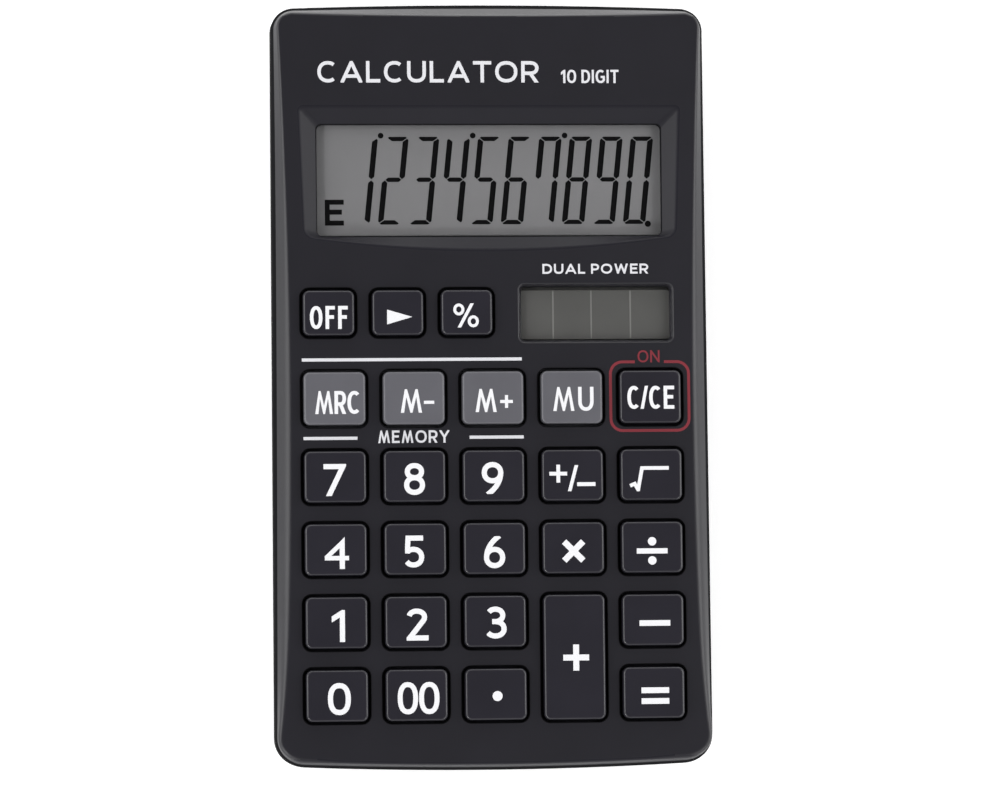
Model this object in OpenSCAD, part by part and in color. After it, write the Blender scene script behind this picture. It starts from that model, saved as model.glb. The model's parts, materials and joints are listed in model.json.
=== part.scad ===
// Pocket calculator with 27 keys, a ten-digit display and a solar cell.
// X runs across the case, Y towards the display end, Z out of the keypad face.
// The origin is the middle of the plane that the rubber feet stand on.

/* [Case] */
// Length of the case from end to end
case_length = 122.4; // [121:0.2:128]
// Width of the case across the keypad end
width_keypad_end = 69.9; // [69.4:0.1:72]
// Width of the case across the display end
width_display_end = 69.5; // [69.2:0.1:72]
// How far the display end bows outwards
bow_display_end = 0.65; // [0:0.05:1.2]
// How far the keypad end bows outwards
bow_keypad_end = 0.95; // [0:0.05:1.4]
// Corner radius at the display end
corner_display_end = 4.3; // [3.4:0.1:6]
// Corner radius at the keypad end
corner_keypad_end = 5.5; // [3.4:0.1:7]
// Height of the flat keypad face above the table
face_height = 12.2; // [12:0.1:13]
// Thickness of the front cover's face
face_thickness = 1.8; // [1.6:0.1:2]
// Height of the joint between the two covers
seam_height = 6; // [5.8:0.1:6.2]

/* [Face edge] */
// Half width of the flat face at its narrowest
waist_half_width = 32.4; // [32.2:0.1:33]
// How far the long edge bevels drop
bevel_drop = 2; // [1.6:0.1:4]
// Radius of the waisted bevel line along each side
waist_radius = 1130; // [900:10:1600]
// Width of the bevel at the middle of the display end
display_end_bevel = 1.9; // [1.5:0.1:2.5]
// Radius of the bevel line along the display end
display_end_radius = 960; // [800:10:1400]
// Width of the bevel along the keypad end
keypad_end_bevel = 0.8; // [0.5:0.1:1.5]

/* [Keys] */
// Distance between key columns
column_pitch = 12.64; // [12.5:0.02:12.8]
// Distance between the four lower key rows
row_pitch = 11.58; // [11.4:0.02:11.8]
// Position of the memory key row
memory_row_y = -2.04; // [-2.3:0.02:-1.8]
// Position of the 7-8-9 key row
seven_row_y = -14.5; // [-14.7:0.02:-14.3]
// Width of a key cap
cap_width = 9.85; // [9.6:0.05:10]
// Length of a number key cap
cap_length = 8.17; // [8:0.01:8.4]
// Length of a memory key cap
memory_cap_length = 8.44; // [8.2:0.02:8.6]
// Width of a small key cap
small_cap_width = 8.2; // [8:0.05:8.4]
// Length of a small key cap
small_cap_length = 7.18; // [7:0.02:7.4]
// Distance between the small keys
small_pitch = 11.03; // [10.9:0.01:11.2]
// Gap between a key cap and its opening
key_gap = 0.4; // [0.3:0.05:0.5]
// Height of the key tops above the face
key_stand = 1; // [0.8:0.1:1.2]
// How far a key can be pressed
key_travel = 0.9; // [0.6:0.05:0.9]
// Corner radius of a key cap
cap_corner = 1; // [0.6:0.1:1.4]
// Rounding of the top edges of a key cap
cap_edge = 0.55; // [0.3:0.05:0.8]

/* [Display] */
// Width of the visible display
view_width = 55.4; // [54:0.2:56]
// Height of the visible display
view_height = 17.7; // [17:0.1:18.4]
// Position of the display's middle along the case
view_y = 32.83; // [32.5:0.01:33.2]
// Depth of the sunken surround
surround_depth = 1.4; // [1.2:0.1:1.4]
// Width of the sunken surround at the face
surround_width = 60.6; // [60:0.1:61.4]
// Top edge of the sunken surround
surround_top = 44.5; // [44:0.1:45]
// Bottom edge of the sunken surround
surround_bottom = 22.2; // [21.8:0.1:23]

/* [Solar cell] */
// Middle of the solar window across the case
solar_x = 17; // [16.8:0.1:17.1]
// Middle of the solar window along the case
solar_y = 11.35; // [11.3:0.05:11.5]
// Width of the solar recess
solar_width = 24.5; // [24:0.1:24.6]
// Height of the solar recess
solar_height = 9; // [8.6:0.1:9.1]

/* [Battery] */
// Diameter of the button cell
cell_diameter = 11.6; // [11.4:0.1:11.6]
// Thickness of the button cell
cell_thickness = 3.05; // [2.9:0.05:3.1]
// Middle of the button cell across the case
cell_x = 19.5; // [18:0.1:20]
// Middle of the button cell along the case
cell_y = 11.5; // [11:0.1:12]

/* [Hidden] */

round_detail = 48;
large_cone_detail = 1440;
blob_detail = 160;
corner_steps = 6;
end_steps = 12;
slack = 0.5;

half_length = case_length / 2;
half_keypad = width_keypad_end / 2;
half_display = width_display_end / 2;
side_bevel = (half_keypad + half_display) / 2 - waist_half_width;
waist_y = 3;

face_under = face_height - face_thickness;
foot_height = 0.6;
floor_top = foot_height + 1.6;
wall_thick = 2.1;
back_inset = 0.3;
back_edge = 1.6;
seam_gap = 0.15;
rabbet_inset = 1.5;
rabbet_top = seam_height + 1.2;
cavity_inset = 2.6;
tongue_inset = 1.6;
tongue_top = seam_height + 1;

board_top = 7.6;
board_thick = 1.2;
board_under = board_top - board_thick;
board_half_width = 31.2;
board_low_y = -54.3;
board_high_y = 19.8;

sheet_thick = 0.6;
sheet_top = board_top + sheet_thick;
dome_top = sheet_top + 1.3;
dome_base_r = 3.3;
dome_top_r = 1.9;
dome_skin = 0.4;
pill_r = 1.3;
pill_thick = 0.6;
pill_top = dome_top - dome_skin;

key_base = dome_top + 0.1;
flange_thick = 0.7;
flange_reach = 0.6 + key_gap / 2;
cap_skin = 1;
plunger_r = 1.5;
key_height = face_height + key_stand - key_base;

five_row_y = seven_row_y - row_pitch;
two_row_y = five_row_y - row_pitch;
zero_row_y = two_row_y - row_pitch;
row_y = [memory_row_y, seven_row_y, five_row_y, two_row_y, zero_row_y];
small_row_y = 11.6;
small_first_x = -26.09;
tall_y = (two_row_y + zero_row_y) / 2;
tall_length = cap_length + row_pitch + 0.13;
plus_column = 3;

lens_lip = 0.4;
lens_top = face_height - surround_depth - lens_lip;
lens_under = lens_top - 1;
lens_margin = 1.1;
pad_under = lens_under;
pad_half_width = 31;
pad_low = 20.6;
pad_high = 45.4;
polariser_top = lens_under - 0.1;
polariser_thick = 0.15;
glass_thick = 0.55;
glass_width = 58;
glass_low = 21.8;
glass_high = 43.8;
ledge_width = 2;
front_glass_top = polariser_top - polariser_thick;
rear_glass_top = front_glass_top - glass_thick;
reflector_top = rear_glass_top - glass_thick;
reflector_thick = 0.2;
frame_floor_top = reflector_top - reflector_thick;
frame_floor = frame_floor_top - 0.9;
frame_top = lens_under - 0.05;
ribbon_width = 44;
ribbon_thick = 0.15;

solar_lens_top = face_height - 0.9;
solar_lens_flange = 0.7;
solar_bevel = 0.4;
solar_cell_top = face_under - solar_lens_flange - 0.1;
solar_cell_thick = 1.1;
solar_pad_thick = solar_cell_top - solar_cell_thick - board_top;

case_screw_spots = [[28.5, 51.5], [30.6, 4.9], [26, -56.4]];
board_screw_spots = [[-28, 18.1], [28, 18.1], [-9.5, 4.75], [9.5, 4.75], [0, -56.3]];
foot_spots = [[27, 43], [27, -47]];
boss_r = 1.6;
boss_low = 5;
pilot_r = 1;
board_boss_r = 1.5;
board_pilot_r = 0.75;
foot_r = 4;
foot_sink = 0.5;

door_width = 17;
door_low = 2.5;
door_high = 24.6;
door_thick = 0.9;
door_gap = 0.15;
door_screw_y = 21.6;
cell_low = floor_top + 0.02;
cell_top = cell_low + cell_thickness;
cup_gap = 0.3;
cup_wall = 0.9;
cup_top = board_under - 0.5;

black_plastic = [0.19, 0.19, 0.2];
grey_plastic = [0.42, 0.42, 0.45];
steel = [0.72, 0.72, 0.74];

// Points along an arc
function arc(cx, cy, r, a0, a1, n) =
  [for (i = [0:n]) let (a = a0 + (a1 - a0) * i / n) [cx + r * cos(a), cy + r * sin(a)]];

// Rounded rectangle centred on the origin
function rounded(w, h, r) = concat(
  arc(w / 2 - r, h / 2 - r, r, 0, 90, corner_steps),
  arc(r - w / 2, h / 2 - r, r, 90, 180, corner_steps),
  arc(r - w / 2, r - h / 2, r, 180, 270, corner_steps),
  arc(w / 2 - r, r - h / 2, r, 270, 360, corner_steps)
);

// Bowed edge at one end of the case
function end_y(x, bow, inset) = half_length - inset - bow * pow(x / half_keypad, 2);

// Plan of the case, drawn in by an inset
function plan(inset) =
  let (
    rd = corner_display_end - inset,
    rk = corner_keypad_end - inset,
    xd = half_display - inset - rd,
    xk = half_keypad - inset - rk,
    yd = end_y(xd, bow_display_end, inset) - rd,
    yk = end_y(xk, bow_keypad_end, inset) - rk
  )
  concat(
    arc(xk, -yk, rk, -90, 0, corner_steps),
    arc(xd, yd, rd, 0, 90, corner_steps),
    [for (i = [1:end_steps - 1])
      let (x = xd - 2 * xd * i / end_steps) [x, end_y(x, bow_display_end, inset)]],
    arc(-xd, yd, rd, 90, 180, corner_steps),
    arc(-xk, -yk, rk, 180, 270, corner_steps),
    [for (i = [1:end_steps - 1])
      let (x = -xk + 2 * xk * i / end_steps) [x, -end_y(x, bow_keypad_end, inset)]]
  );

// Slab of the case plan between two heights
module slab(low, high, inset) {
  translate([0, 0, low])
    linear_extrude(high - low)
      polygon(plan(inset));
}

// Box given by its low and high corners
module block(low, high) {
  translate(low)
    cube(high - low);
}

// Upright post on a spot
module post(x, y, low, high, r) {
  translate([x, y, low])
    cylinder(h = high - low, r = r, $fn = round_detail);
}

// Repeats a shape on both sides of the case
module both_sides() {
  children();
  mirror([1, 0, 0])
    children();
}

// Prism along Y from a profile in X and Z
module along_y(low, high, profile) {
  translate([0, high, 0])
    rotate([90, 0, 0])
      linear_extrude(high - low)
        polygon(profile);
}

// Prism along X from a profile in Y and Z
module along_x(low, high, profile) {
  translate([low, 0, 0])
    rotate([90, 0, 90])
      linear_extrude(high - low)
        polygon(profile);
}

// Profile of a sunken surround, wide at the face and narrow at its floor
function sunk_profile(face_low, face_high, floor_low, floor_high, depth) = [
  [face_low - slack * (floor_low - face_low) / depth, face_height + slack],
  [floor_low, face_height - depth],
  [floor_high, face_height - depth],
  [face_high + slack * (face_high - floor_high) / depth, face_height + slack]
];

// Cone that cuts a waisted bevel along one edge
module bevel_cutter(middle, width, drop, radius) {
  tilt = width / drop;
  translate([0, middle - width + radius, face_height - drop])
    cylinder(h = drop + 1, r1 = radius - width, r2 = radius + tilt, $fn = large_cone_detail);
}

// Cuts the long bevels and the display end bevel, and trims the keypad end
module bevelled_body() {
  intersection() {
    difference() {
      slab(seam_height, face_height, 0);
      both_sides()
        translate([0, waist_y, 0])
          rotate([0, 0, -90])
            bevel_cutter(waist_half_width + side_bevel, side_bevel, bevel_drop, waist_radius);
      bevel_cutter(half_length, display_end_bevel, bevel_drop, display_end_radius);
    }
    keypad_end_cone();
  }
}

// Large cone whose flank is the bevel along the keypad end
module keypad_end_cone() {
  radius = half_keypad * half_keypad / (2 * bow_keypad_end);
  drop = face_height - seam_height;
  tilt = keypad_end_bevel / bevel_drop;
  translate([0, radius - half_length, seam_height - 1])
    cylinder(
      h = drop + 2,
      r1 = radius + tilt * (drop - bevel_drop + 1),
      r2 = radius - keypad_end_bevel - tilt,
      $fn = large_cone_detail
    );
}

// Openings for the key caps
module key_openings() {
  linear_extrude(face_height + slack) {
    for (r = [0:4])
      for (c = [0:4])
        if (!(c == plus_column && r > 2))
          translate([(c - 2) * column_pitch, row_y[r]])
            polygon(rounded(
              cap_width + 2 * key_gap,
              (r == 0 ? memory_cap_length : cap_length) + 2 * key_gap,
              cap_corner + key_gap
            ));
    translate([(plus_column - 2) * column_pitch, tall_y])
      polygon(rounded(cap_width + 2 * key_gap, tall_length + 2 * key_gap, cap_corner + key_gap));
    for (i = [0:2])
      translate([small_first_x + i * small_pitch, small_row_y])
        polygon(rounded(
          small_cap_width + 2 * key_gap,
          small_cap_length + 2 * key_gap,
          cap_corner + key_gap
        ));
  }
}

// Screw posts under the face
module front_posts() {
  both_sides()
    for (s = case_screw_spots)
      difference() {
        post(s[0], s[1], boss_low, face_under + 0.2, boss_r);
        post(s[0], s[1], boss_low - 1, face_under - 1, pilot_r);
      }
  for (s = board_screw_spots)
    difference() {
      post(s[0], s[1], board_top, face_under + 0.2, board_boss_r);
      post(s[0], s[1], board_top - 1, face_under - 0.5, board_pilot_r);
    }
}

module front_cover() {
  color(black_plastic)
  union() {
    difference() {
      bevelled_body();
      difference() {
        union() {
          slab(seam_height - 1, rabbet_top, rabbet_inset);
          slab(seam_height - 1, face_under, cavity_inset);
        }
        block([-pad_half_width, pad_low, pad_under], [pad_half_width, pad_high, face_height]);
      }
      key_openings();
      intersection() {
        along_y(
          surround_bottom - 5, surround_top + 5,
          sunk_profile(
            -surround_width / 2, surround_width / 2,
            -view_width / 2, view_width / 2, surround_depth
          )
        );
        along_x(
          -half_keypad, half_keypad,
          sunk_profile(
            surround_bottom, surround_top,
            view_y - view_height / 2, view_y + view_height / 2, surround_depth
          )
        );
      }
      translate([0, view_y, pad_under - 1])
        linear_extrude(face_height - pad_under)
          polygon(rounded(view_width, view_height, cap_corner));
      translate([0, view_y, pad_under - 1])
        linear_extrude(lens_top - pad_under + 1)
          polygon(rounded(
            view_width + 2 * lens_margin + 0.2, view_height + 2 * lens_margin + 0.2, cap_corner
          ));
      intersection() {
        along_y(
          solar_y - solar_height, solar_y + solar_height,
          sunk_profile(
            solar_x - solar_width / 2, solar_x + solar_width / 2,
            solar_x - solar_width / 2 + solar_bevel, solar_x + solar_width / 2 - solar_bevel,
            face_height - solar_lens_top
          )
        );
        along_x(
          0, half_keypad - 4,
          sunk_profile(
            solar_y - solar_height / 2, solar_y + solar_height / 2,
            solar_y - solar_height / 2 + solar_bevel, solar_y + solar_height / 2 - solar_bevel,
            face_height - solar_lens_top
          )
        );
      }
      translate([solar_x, solar_y, 0])
        linear_extrude(face_height - 0.5)
          polygon(rounded(
            solar_width - 2 * solar_bevel, solar_height - 2 * solar_bevel, solar_bevel
          ));
    }
    front_posts();
  }
}

// Outer form of the back cover, drawn in towards the table
module back_body() {
  half = half_keypad - back_inset;
  long = half_length - back_inset;
  high = seam_height - seam_gap;
  intersection() {
    slab(foot_height, high, back_inset);
    along_y(-half_length, half_length, back_profile(half, high));
    along_x(-half_keypad, half_keypad, back_profile(long, high));
  }
}

// Section of the back cover with a draft and rounded lower edges
function back_profile(half, high) =
  let (foot = half - 0.8)
  concat(
    arc(foot - back_edge, foot_height + back_edge, back_edge, -90, -10, corner_steps),
    [[half, high], [-half, high]],
    arc(back_edge - foot, foot_height + back_edge, back_edge, 190, 270, corner_steps)
  );

module back_cover() {
  color(black_plastic)
  difference() {
    union() {
      difference() {
        back_body();
        slab(floor_top, seam_height, back_inset + wall_thick);
      }
      difference() {
        slab(seam_height - seam_gap - 1, tongue_top, tongue_inset);
        slab(floor_top, tongue_top + 1, back_inset + wall_thick);
      }
      both_sides()
        for (s = case_screw_spots)
          post(s[0], s[1], foot_height + 0.2, boss_low - 0.05, 2.5);
      post(cell_x, cell_y, floor_top - 0.2, cup_top, cell_diameter / 2 + cup_gap + cup_wall);
      post(cell_x, door_screw_y, foot_height + door_thick + 0.2, cup_top, 1.8);
      for (x = [-1.5, -0.5, 0.5, 1.5])
        for (y = [five_row_y + row_pitch / 2, zero_row_y + row_pitch / 2])
          post(x * column_pitch, y, floor_top - 0.2, board_under - 0.05, 1.3);
      for (x = [-24, -4, 24])
        block([x - 0.6, 23, floor_top - 0.2], [x + 0.6, 42, frame_floor - 0.05]);
    }
    both_sides()
      for (s = case_screw_spots) {
        post(s[0], s[1], 0, foot_height + 1.5, 2);
        post(s[0], s[1], 0, boss_low + 1, 1.15);
      }
    both_sides()
      for (s = foot_spots)
        post(s[0], s[1], 0, foot_height + foot_sink, foot_r + 0.1);
    battery_openings();
  }
}

// Room for the button cell, its contacts and its cover
module battery_openings() {
  post(cell_x, cell_y, foot_height + 0.2, cup_top + 1, cell_diameter / 2 + cup_gap);
  translate([cell_x, (door_low + door_high) / 2, foot_height - 1])
    linear_extrude(door_thick + door_gap + 1)
      polygon(rounded(door_width + 2 * door_gap, door_high - door_low + 2 * door_gap, 2));
  block(
    [cell_x - 3, door_low - 1.8, foot_height + door_thick],
    [cell_x + 3, door_low + 2.1, floor_top + 0.1]
  );
  post(cell_x, door_screw_y, 0, cup_top - 0.8, 0.8);
  block(
    [cell_x - cell_diameter / 2 - 1.6, cell_y - 2.7, floor_top],
    [cell_x - cell_diameter / 2 + 1, cell_y + 2.7, cup_top + 1]
  );
}

module battery_cover() {
  top = foot_height + door_thick;
  color(black_plastic)
  difference() {
    union() {
      translate([cell_x, (door_low + door_high) / 2, foot_height])
        linear_extrude(door_thick)
          polygon(rounded(door_width, door_high - door_low, 1.85));
      block([cell_x - 2.6, door_low + 0.4, top - 0.1], [cell_x + 2.6, door_low + 1.9, top + 0.6]);
      block([cell_x - 2.6, door_low - 1.4, top + 0.1], [cell_x + 2.6, door_low + 1.9, top + 0.6]);
    }
    post(cell_x, door_screw_y, 0, top + 1, 1);
    post(cell_x, door_screw_y, 0, foot_height + 0.45, 1.6);
    for (i = [0:4])
      block(
        [cell_x - 4, door_low + 2.5 + 0.9 * i, foot_height - 0.1],
        [cell_x + 4, door_low + 2.9 + 0.9 * i, foot_height + 0.2]
      );
  }
}

// Cross-head screw pointing up, with its head underneath
module screw(x, y, head_low, head_high, head_r, tip, shank_r) {
  difference() {
    union() {
      post(x, y, head_low, head_high, head_r);
      post(x, y, head_low, tip, shank_r);
    }
    block([x - head_r * 0.55, y - 0.2, head_low - 1], [x + head_r * 0.55, y + 0.2, head_low + 0.4]);
    block([x - 0.2, y - head_r * 0.55, head_low - 1], [x + 0.2, y + head_r * 0.55, head_low + 0.4]);
  }
}

module battery_cover_screw() {
  color(steel)
    screw(cell_x, door_screw_y, foot_height, foot_height + 0.43, 1.5, cup_top - 1.2, 0.78);
}

module case_screws() {
  color(steel)
  both_sides()
    for (s = case_screw_spots)
      screw(s[0], s[1], foot_height + 0.4, foot_height + 1.48, 1.8, face_under - 1.6, 0.98);
}

module board_screws() {
  color(steel)
  for (s = board_screw_spots)
    screw(s[0], s[1], board_under - 0.7, board_under, 1.4, face_under - 0.9, 0.73);
}

module rubber_feet() {
  color([0.1, 0.1, 0.1])
  both_sides()
    for (s = foot_spots) {
      post(s[0], s[1], 0.2, foot_height + foot_sink, foot_r);
      post(s[0], s[1], 0, 0.3, foot_r - 0.25);
    }
}

module display_window() {
  color([0.75, 0.78, 0.75, 0.3])
  translate([0, view_y, lens_under])
    linear_extrude(lens_top - lens_under)
      polygon(rounded(view_width + 2 * lens_margin, view_height + 2 * lens_margin, cap_corner));
}

module display_polariser() {
  color([0.5, 0.52, 0.48])
    block(
      [-glass_width / 2 + 0.6, glass_low + ledge_width + 0.4, front_glass_top],
      [glass_width / 2 - 0.6, glass_high - 0.4, polariser_top]
    );
}

module display_glass_front() {
  color([0.6, 0.65, 0.6])
    block(
      [-glass_width / 2, glass_low + ledge_width, rear_glass_top],
      [glass_width / 2, glass_high, front_glass_top]
    );
}

module display_glass_rear() {
  color([0.55, 0.6, 0.55])
    block(
      [-glass_width / 2, glass_low, reflector_top],
      [glass_width / 2, glass_high, rear_glass_top]
    );
}

module display_reflector() {
  color([0.6, 0.6, 0.56])
    block(
      [-glass_width / 2 + 0.6, glass_low + 0.4, frame_floor_top],
      [glass_width / 2 - 0.6, glass_high - 0.4, reflector_top]
    );
}

module display_frame() {
  color([0.85, 0.85, 0.82])
  difference() {
    block([-pad_half_width, pad_low, frame_floor], [pad_half_width, pad_high, frame_top]);
    block(
      [-glass_width / 2 - 0.2, glass_low - 0.2, frame_floor_top],
      [glass_width / 2 + 0.2, glass_high + 0.2, frame_top + 1]
    );
    block(
      [-ribbon_width / 2 - 0.3, pad_low - 1, frame_floor_top + 0.5],
      [ribbon_width / 2 + 0.3, glass_low + 1, frame_top + 1]
    );
  }
}

module display_ribbon() {
  high = rear_glass_top;
  low = board_top;
  color([0.8, 0.55, 0.2])
    along_x(-ribbon_width / 2, ribbon_width / 2, [
      [glass_low + 1.7, high],
      [glass_low + 1.7, high + ribbon_thick],
      [pad_low + 0.1, high + ribbon_thick],
      [pad_low - 1.4, low + ribbon_thick],
      [pad_low - 3, low + ribbon_thick],
      [pad_low - 3, low],
      [pad_low - 1.3, low],
      [pad_low + 0.2, high]
    ]);
}

module solar_window() {
  color([0.6, 0.6, 0.58, 0.4])
  union() {
    translate([solar_x, solar_y, face_under - solar_lens_flange])
      linear_extrude(solar_lens_flange)
        polygon(rounded(solar_width + 0.9, solar_height + 0.9, 0.5));
    translate([solar_x, solar_y, face_under - 0.1])
      linear_extrude(solar_lens_top - face_under + 0.1)
        polygon(rounded(
          solar_width - 2 * solar_bevel - 0.2, solar_height - 2 * solar_bevel - 0.2, 0.4
        ));
  }
}

module solar_cell() {
  color([0.35, 0.33, 0.33])
    block(
      [solar_x - solar_width / 2, solar_y - solar_height / 2, solar_cell_top - solar_cell_thick],
      [solar_x + solar_width / 2, solar_y + solar_height / 2, solar_cell_top]
    );
}

module solar_pad() {
  color([0.2, 0.2, 0.2])
    block(
      [solar_x - solar_width / 2 + 1, solar_y - solar_height / 2 + 1, board_top],
      [solar_x + solar_width / 2 - 1, solar_y + solar_height / 2 - 1, board_top + solar_pad_thick]
    );
}

// Short wire from the board up to the edge of the solar cell
module solar_lead(y) {
  edge = solar_x - solar_width / 2;
  middle = solar_cell_top - solar_cell_thick / 2;
  post(edge - 1.6, y, board_top, middle, 0.35);
  translate([edge - 1.6, y, middle])
    sphere(r = 0.35, $fn = round_detail);
  translate([edge - 1.6, y, middle])
    rotate([0, 90, 0])
      cylinder(h = 1.6, r = 0.35, $fn = round_detail);
}

module solar_lead_red() {
  color([0.6, 0.1, 0.1])
    solar_lead(solar_y + 2.5);
}

module solar_lead_black() {
  color([0.05, 0.05, 0.05])
    solar_lead(solar_y - 2.5);
}

module circuit_board() {
  color([0.55, 0.45, 0.25])
  difference() {
    union() {
      block(
        [-board_half_width, board_low_y, board_under], [board_half_width, board_high_y, board_top]
      );
      block([-3.2, board_low_y - 3.6, board_under], [3.2, board_low_y + 1, board_top]);
    }
    both_sides()
      for (s = case_screw_spots)
        post(s[0], s[1], board_under - 1, board_top + 1, boss_r + 0.5);
    for (s = board_screw_spots)
      post(s[0], s[1], board_under - 1, board_top + 1, 0.95);
  }
}

module chip_blob() {
  blob_r = 6;
  blob_drop = 1.6;
  ball_r = (blob_r * blob_r + blob_drop * blob_drop) / (2 * blob_drop);
  color([0.05, 0.05, 0.05])
  intersection() {
    translate([0, five_row_y, board_under + ball_r - blob_drop])
      sphere(r = ball_r, $fn = blob_detail);
    post(0, five_row_y, board_under - 2 * blob_drop, board_under, blob_r + 1);
  }
}

module resistors() {
  color([0.1, 0.1, 0.1])
  for (i = [0:5])
    block([-27 + 4 * i, 0, board_under - 0.5], [-25 + 4 * i, 1.2, board_under]);
}

module diodes() {
  color([0.8, 0.4, 0.2])
  for (y = [-4, -7])
    translate([22, y, board_under - 0.75])
      rotate([0, 90, 0])
        cylinder(h = 3.5, r = 0.75, $fn = round_detail);
}

module capacitor() {
  can_r = 1.7;
  axis_z = board_under - can_r - 0.1;
  color([0.1, 0.12, 0.3])
  union() {
    translate([-22, 11, axis_z])
      rotate([0, 90, 0])
        cylinder(h = 6, r = can_r, $fn = round_detail);
    for (y = [10.2, 11.8]) {
      translate([-16, y, axis_z])
        rotate([0, 90, 0])
          cylinder(h = 1.2, r = 0.25, $fn = round_detail);
      translate([-14.8, y, axis_z])
        sphere(r = 0.25, $fn = round_detail);
      post(-14.8, y, axis_z, board_under, 0.25);
    }
  }
}

// Places a shape under every key
module under_keys() {
  for (r = [0:4])
    for (c = [0:4])
      if (!(c == plus_column && r > 2))
        translate([(c - 2) * column_pitch, row_y[r], 0])
          children();
  translate([(plus_column - 2) * column_pitch, tall_y, 0])
    children();
  for (i = [0:2])
    translate([small_first_x + i * small_pitch, small_row_y, 0])
      children();
}

module keypad_sheet() {
  color([0.75, 0.75, 0.75])
  difference() {
    union() {
      block([-board_half_width + 0.3, board_low_y + 0.3, board_top], [board_half_width - 0.3, 6, sheet_top]);
      block([-board_half_width + 0.3, 5, board_top], [1.6, 16.3, sheet_top]);
    }
    under_keys()
      post(0, 0, board_top - 1, sheet_top + 1, dome_base_r - dome_skin);
    both_sides()
      for (s = case_screw_spots)
        post(s[0], s[1], board_top - 1, sheet_top + 1, boss_r + 0.4);
    for (s = board_screw_spots)
      post(s[0], s[1], board_top - 1, sheet_top + 1, board_boss_r + 0.3);
  }
}

module key_domes() {
  color([0.85, 0.85, 0.85])
  under_keys()
    difference() {
      translate([0, 0, sheet_top])
        cylinder(h = dome_top - sheet_top, r1 = dome_base_r, r2 = dome_top_r, $fn = round_detail);
      translate([0, 0, sheet_top - 0.01])
        cylinder(
          h = pill_top - sheet_top + 0.01,
          r1 = dome_base_r - dome_skin, r2 = dome_top_r - 0.2, $fn = round_detail
        );
    }
}

module contact_pills() {
  color([0.08, 0.08, 0.08])
  under_keys()
    post(0, 0, pill_top - pill_thick, pill_top, pill_r);
}

module button_cell() {
  r = cell_diameter / 2;
  color(steel)
  union() {
    post(cell_x, cell_y, cell_low, cell_top - 0.35, r);
    post(cell_x, cell_y, cell_top - 0.5, cell_top, r - 0.7);
  }
}

module battery_contact_positive() {
  x = cell_x - cell_diameter / 2;
  color(steel)
    along_y(cell_y - 1.8, cell_y + 1.8, [
      [x - 0.28, cell_low + 0.4],
      [x - 0.05, cell_low + 0.4],
      [x - 0.05, board_under],
      [x - 3.4, board_under],
      [x - 3.4, board_under - 0.23],
      [x - 0.28, board_under - 0.23]
    ]);
}

module battery_contact_negative() {
  color(steel)
    along_y(cell_y - 1.6, cell_y + 1.6, [
      [cell_x + 3.8, board_under],
      [cell_x + 0.8, board_under],
      [cell_x - 2.6, cell_top + 0.25],
      [cell_x - 3.6, cell_top + 0.55],
      [cell_x - 3.6, cell_top + 0.35],
      [cell_x - 2.6, cell_top + 0.03],
      [cell_x + 0.9, board_under - 0.22],
      [cell_x + 3.8, board_under - 0.22]
    ]);
}

// Side view of a key cap with rounded top edges
function cap_profile(size) = concat(
  arc(size / 2 - cap_edge, key_height - cap_edge, cap_edge, 0, 90, corner_steps),
  arc(cap_edge - size / 2, key_height - cap_edge, cap_edge, 90, 180, corner_steps),
  [[-size / 2, 0], [size / 2, 0]]
);

// One hollow key cap with a flange below the face and a plunger over its dome
module key_block(x, y, w, l) {
  translate([x, y, key_base])
  union() {
    difference() {
      union() {
        intersection() {
          linear_extrude(key_height)
            polygon(rounded(w, l, cap_corner));
          along_y(-l, l, cap_profile(w));
          along_x(-w, w, cap_profile(l));
        }
        linear_extrude(flange_thick)
          polygon(rounded(w + 2 * flange_reach, l + 2 * flange_reach, cap_corner));
      }
      translate([0, 0, -1])
        linear_extrude(key_height - cap_skin + 1)
          polygon(rounded(w - 2 * cap_skin, l - 2 * cap_skin, 0.5));
    }
    cylinder(h = key_height - cap_skin / 2, r = plunger_r, $fn = round_detail);
  }
}

// Key in the five-column field
module field_key(column, row) {
  length = row == 0 ? memory_cap_length : cap_length;
  key_block((column - 2) * column_pitch, row_y[row], cap_width, length);
}

// Key in the small row beside the solar window
module small_key(place) {
  key_block(small_first_x + place * small_pitch, small_row_y, small_cap_width, small_cap_length);
}

module key_off() {
  color(black_plastic) small_key(0);
}

module key_back() {
  color(black_plastic) small_key(1);
}

module key_percent() {
  color(black_plastic) small_key(2);
}

module key_mrc() {
  color(grey_plastic) field_key(0, 0);
}

module key_m_minus() {
  color(grey_plastic) field_key(1, 0);
}

module key_m_plus() {
  color(grey_plastic) field_key(2, 0);
}

module key_mu() {
  color(grey_plastic) field_key(3, 0);
}

module key_clear() {
  color(black_plastic) field_key(4, 0);
}

module key_7() {
  color(black_plastic) field_key(0, 1);
}

module key_8() {
  color(black_plastic) field_key(1, 1);
}

module key_9() {
  color(black_plastic) field_key(2, 1);
}

module key_sign() {
  color(black_plastic) field_key(3, 1);
}

module key_root() {
  color(black_plastic) field_key(4, 1);
}

module key_4() {
  color(black_plastic) field_key(0, 2);
}

module key_5() {
  color(black_plastic) field_key(1, 2);
}

module key_6() {
  color(black_plastic) field_key(2, 2);
}

module key_times() {
  color(black_plastic) field_key(3, 2);
}

module key_divide() {
  color(black_plastic) field_key(4, 2);
}

module key_1() {
  color(black_plastic) field_key(0, 3);
}

module key_2() {
  color(black_plastic) field_key(1, 3);
}

module key_3() {
  color(black_plastic) field_key(2, 3);
}

module key_plus() {
  color(black_plastic)
    key_block((plus_column - 2) * column_pitch, tall_y, cap_width, tall_length);
}

module key_minus() {
  color(black_plastic) field_key(4, 3);
}

module key_0() {
  color(black_plastic) field_key(0, 4);
}

module key_00() {
  color(black_plastic) field_key(1, 4);
}

module key_point() {
  color(black_plastic) field_key(2, 4);
}

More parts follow.
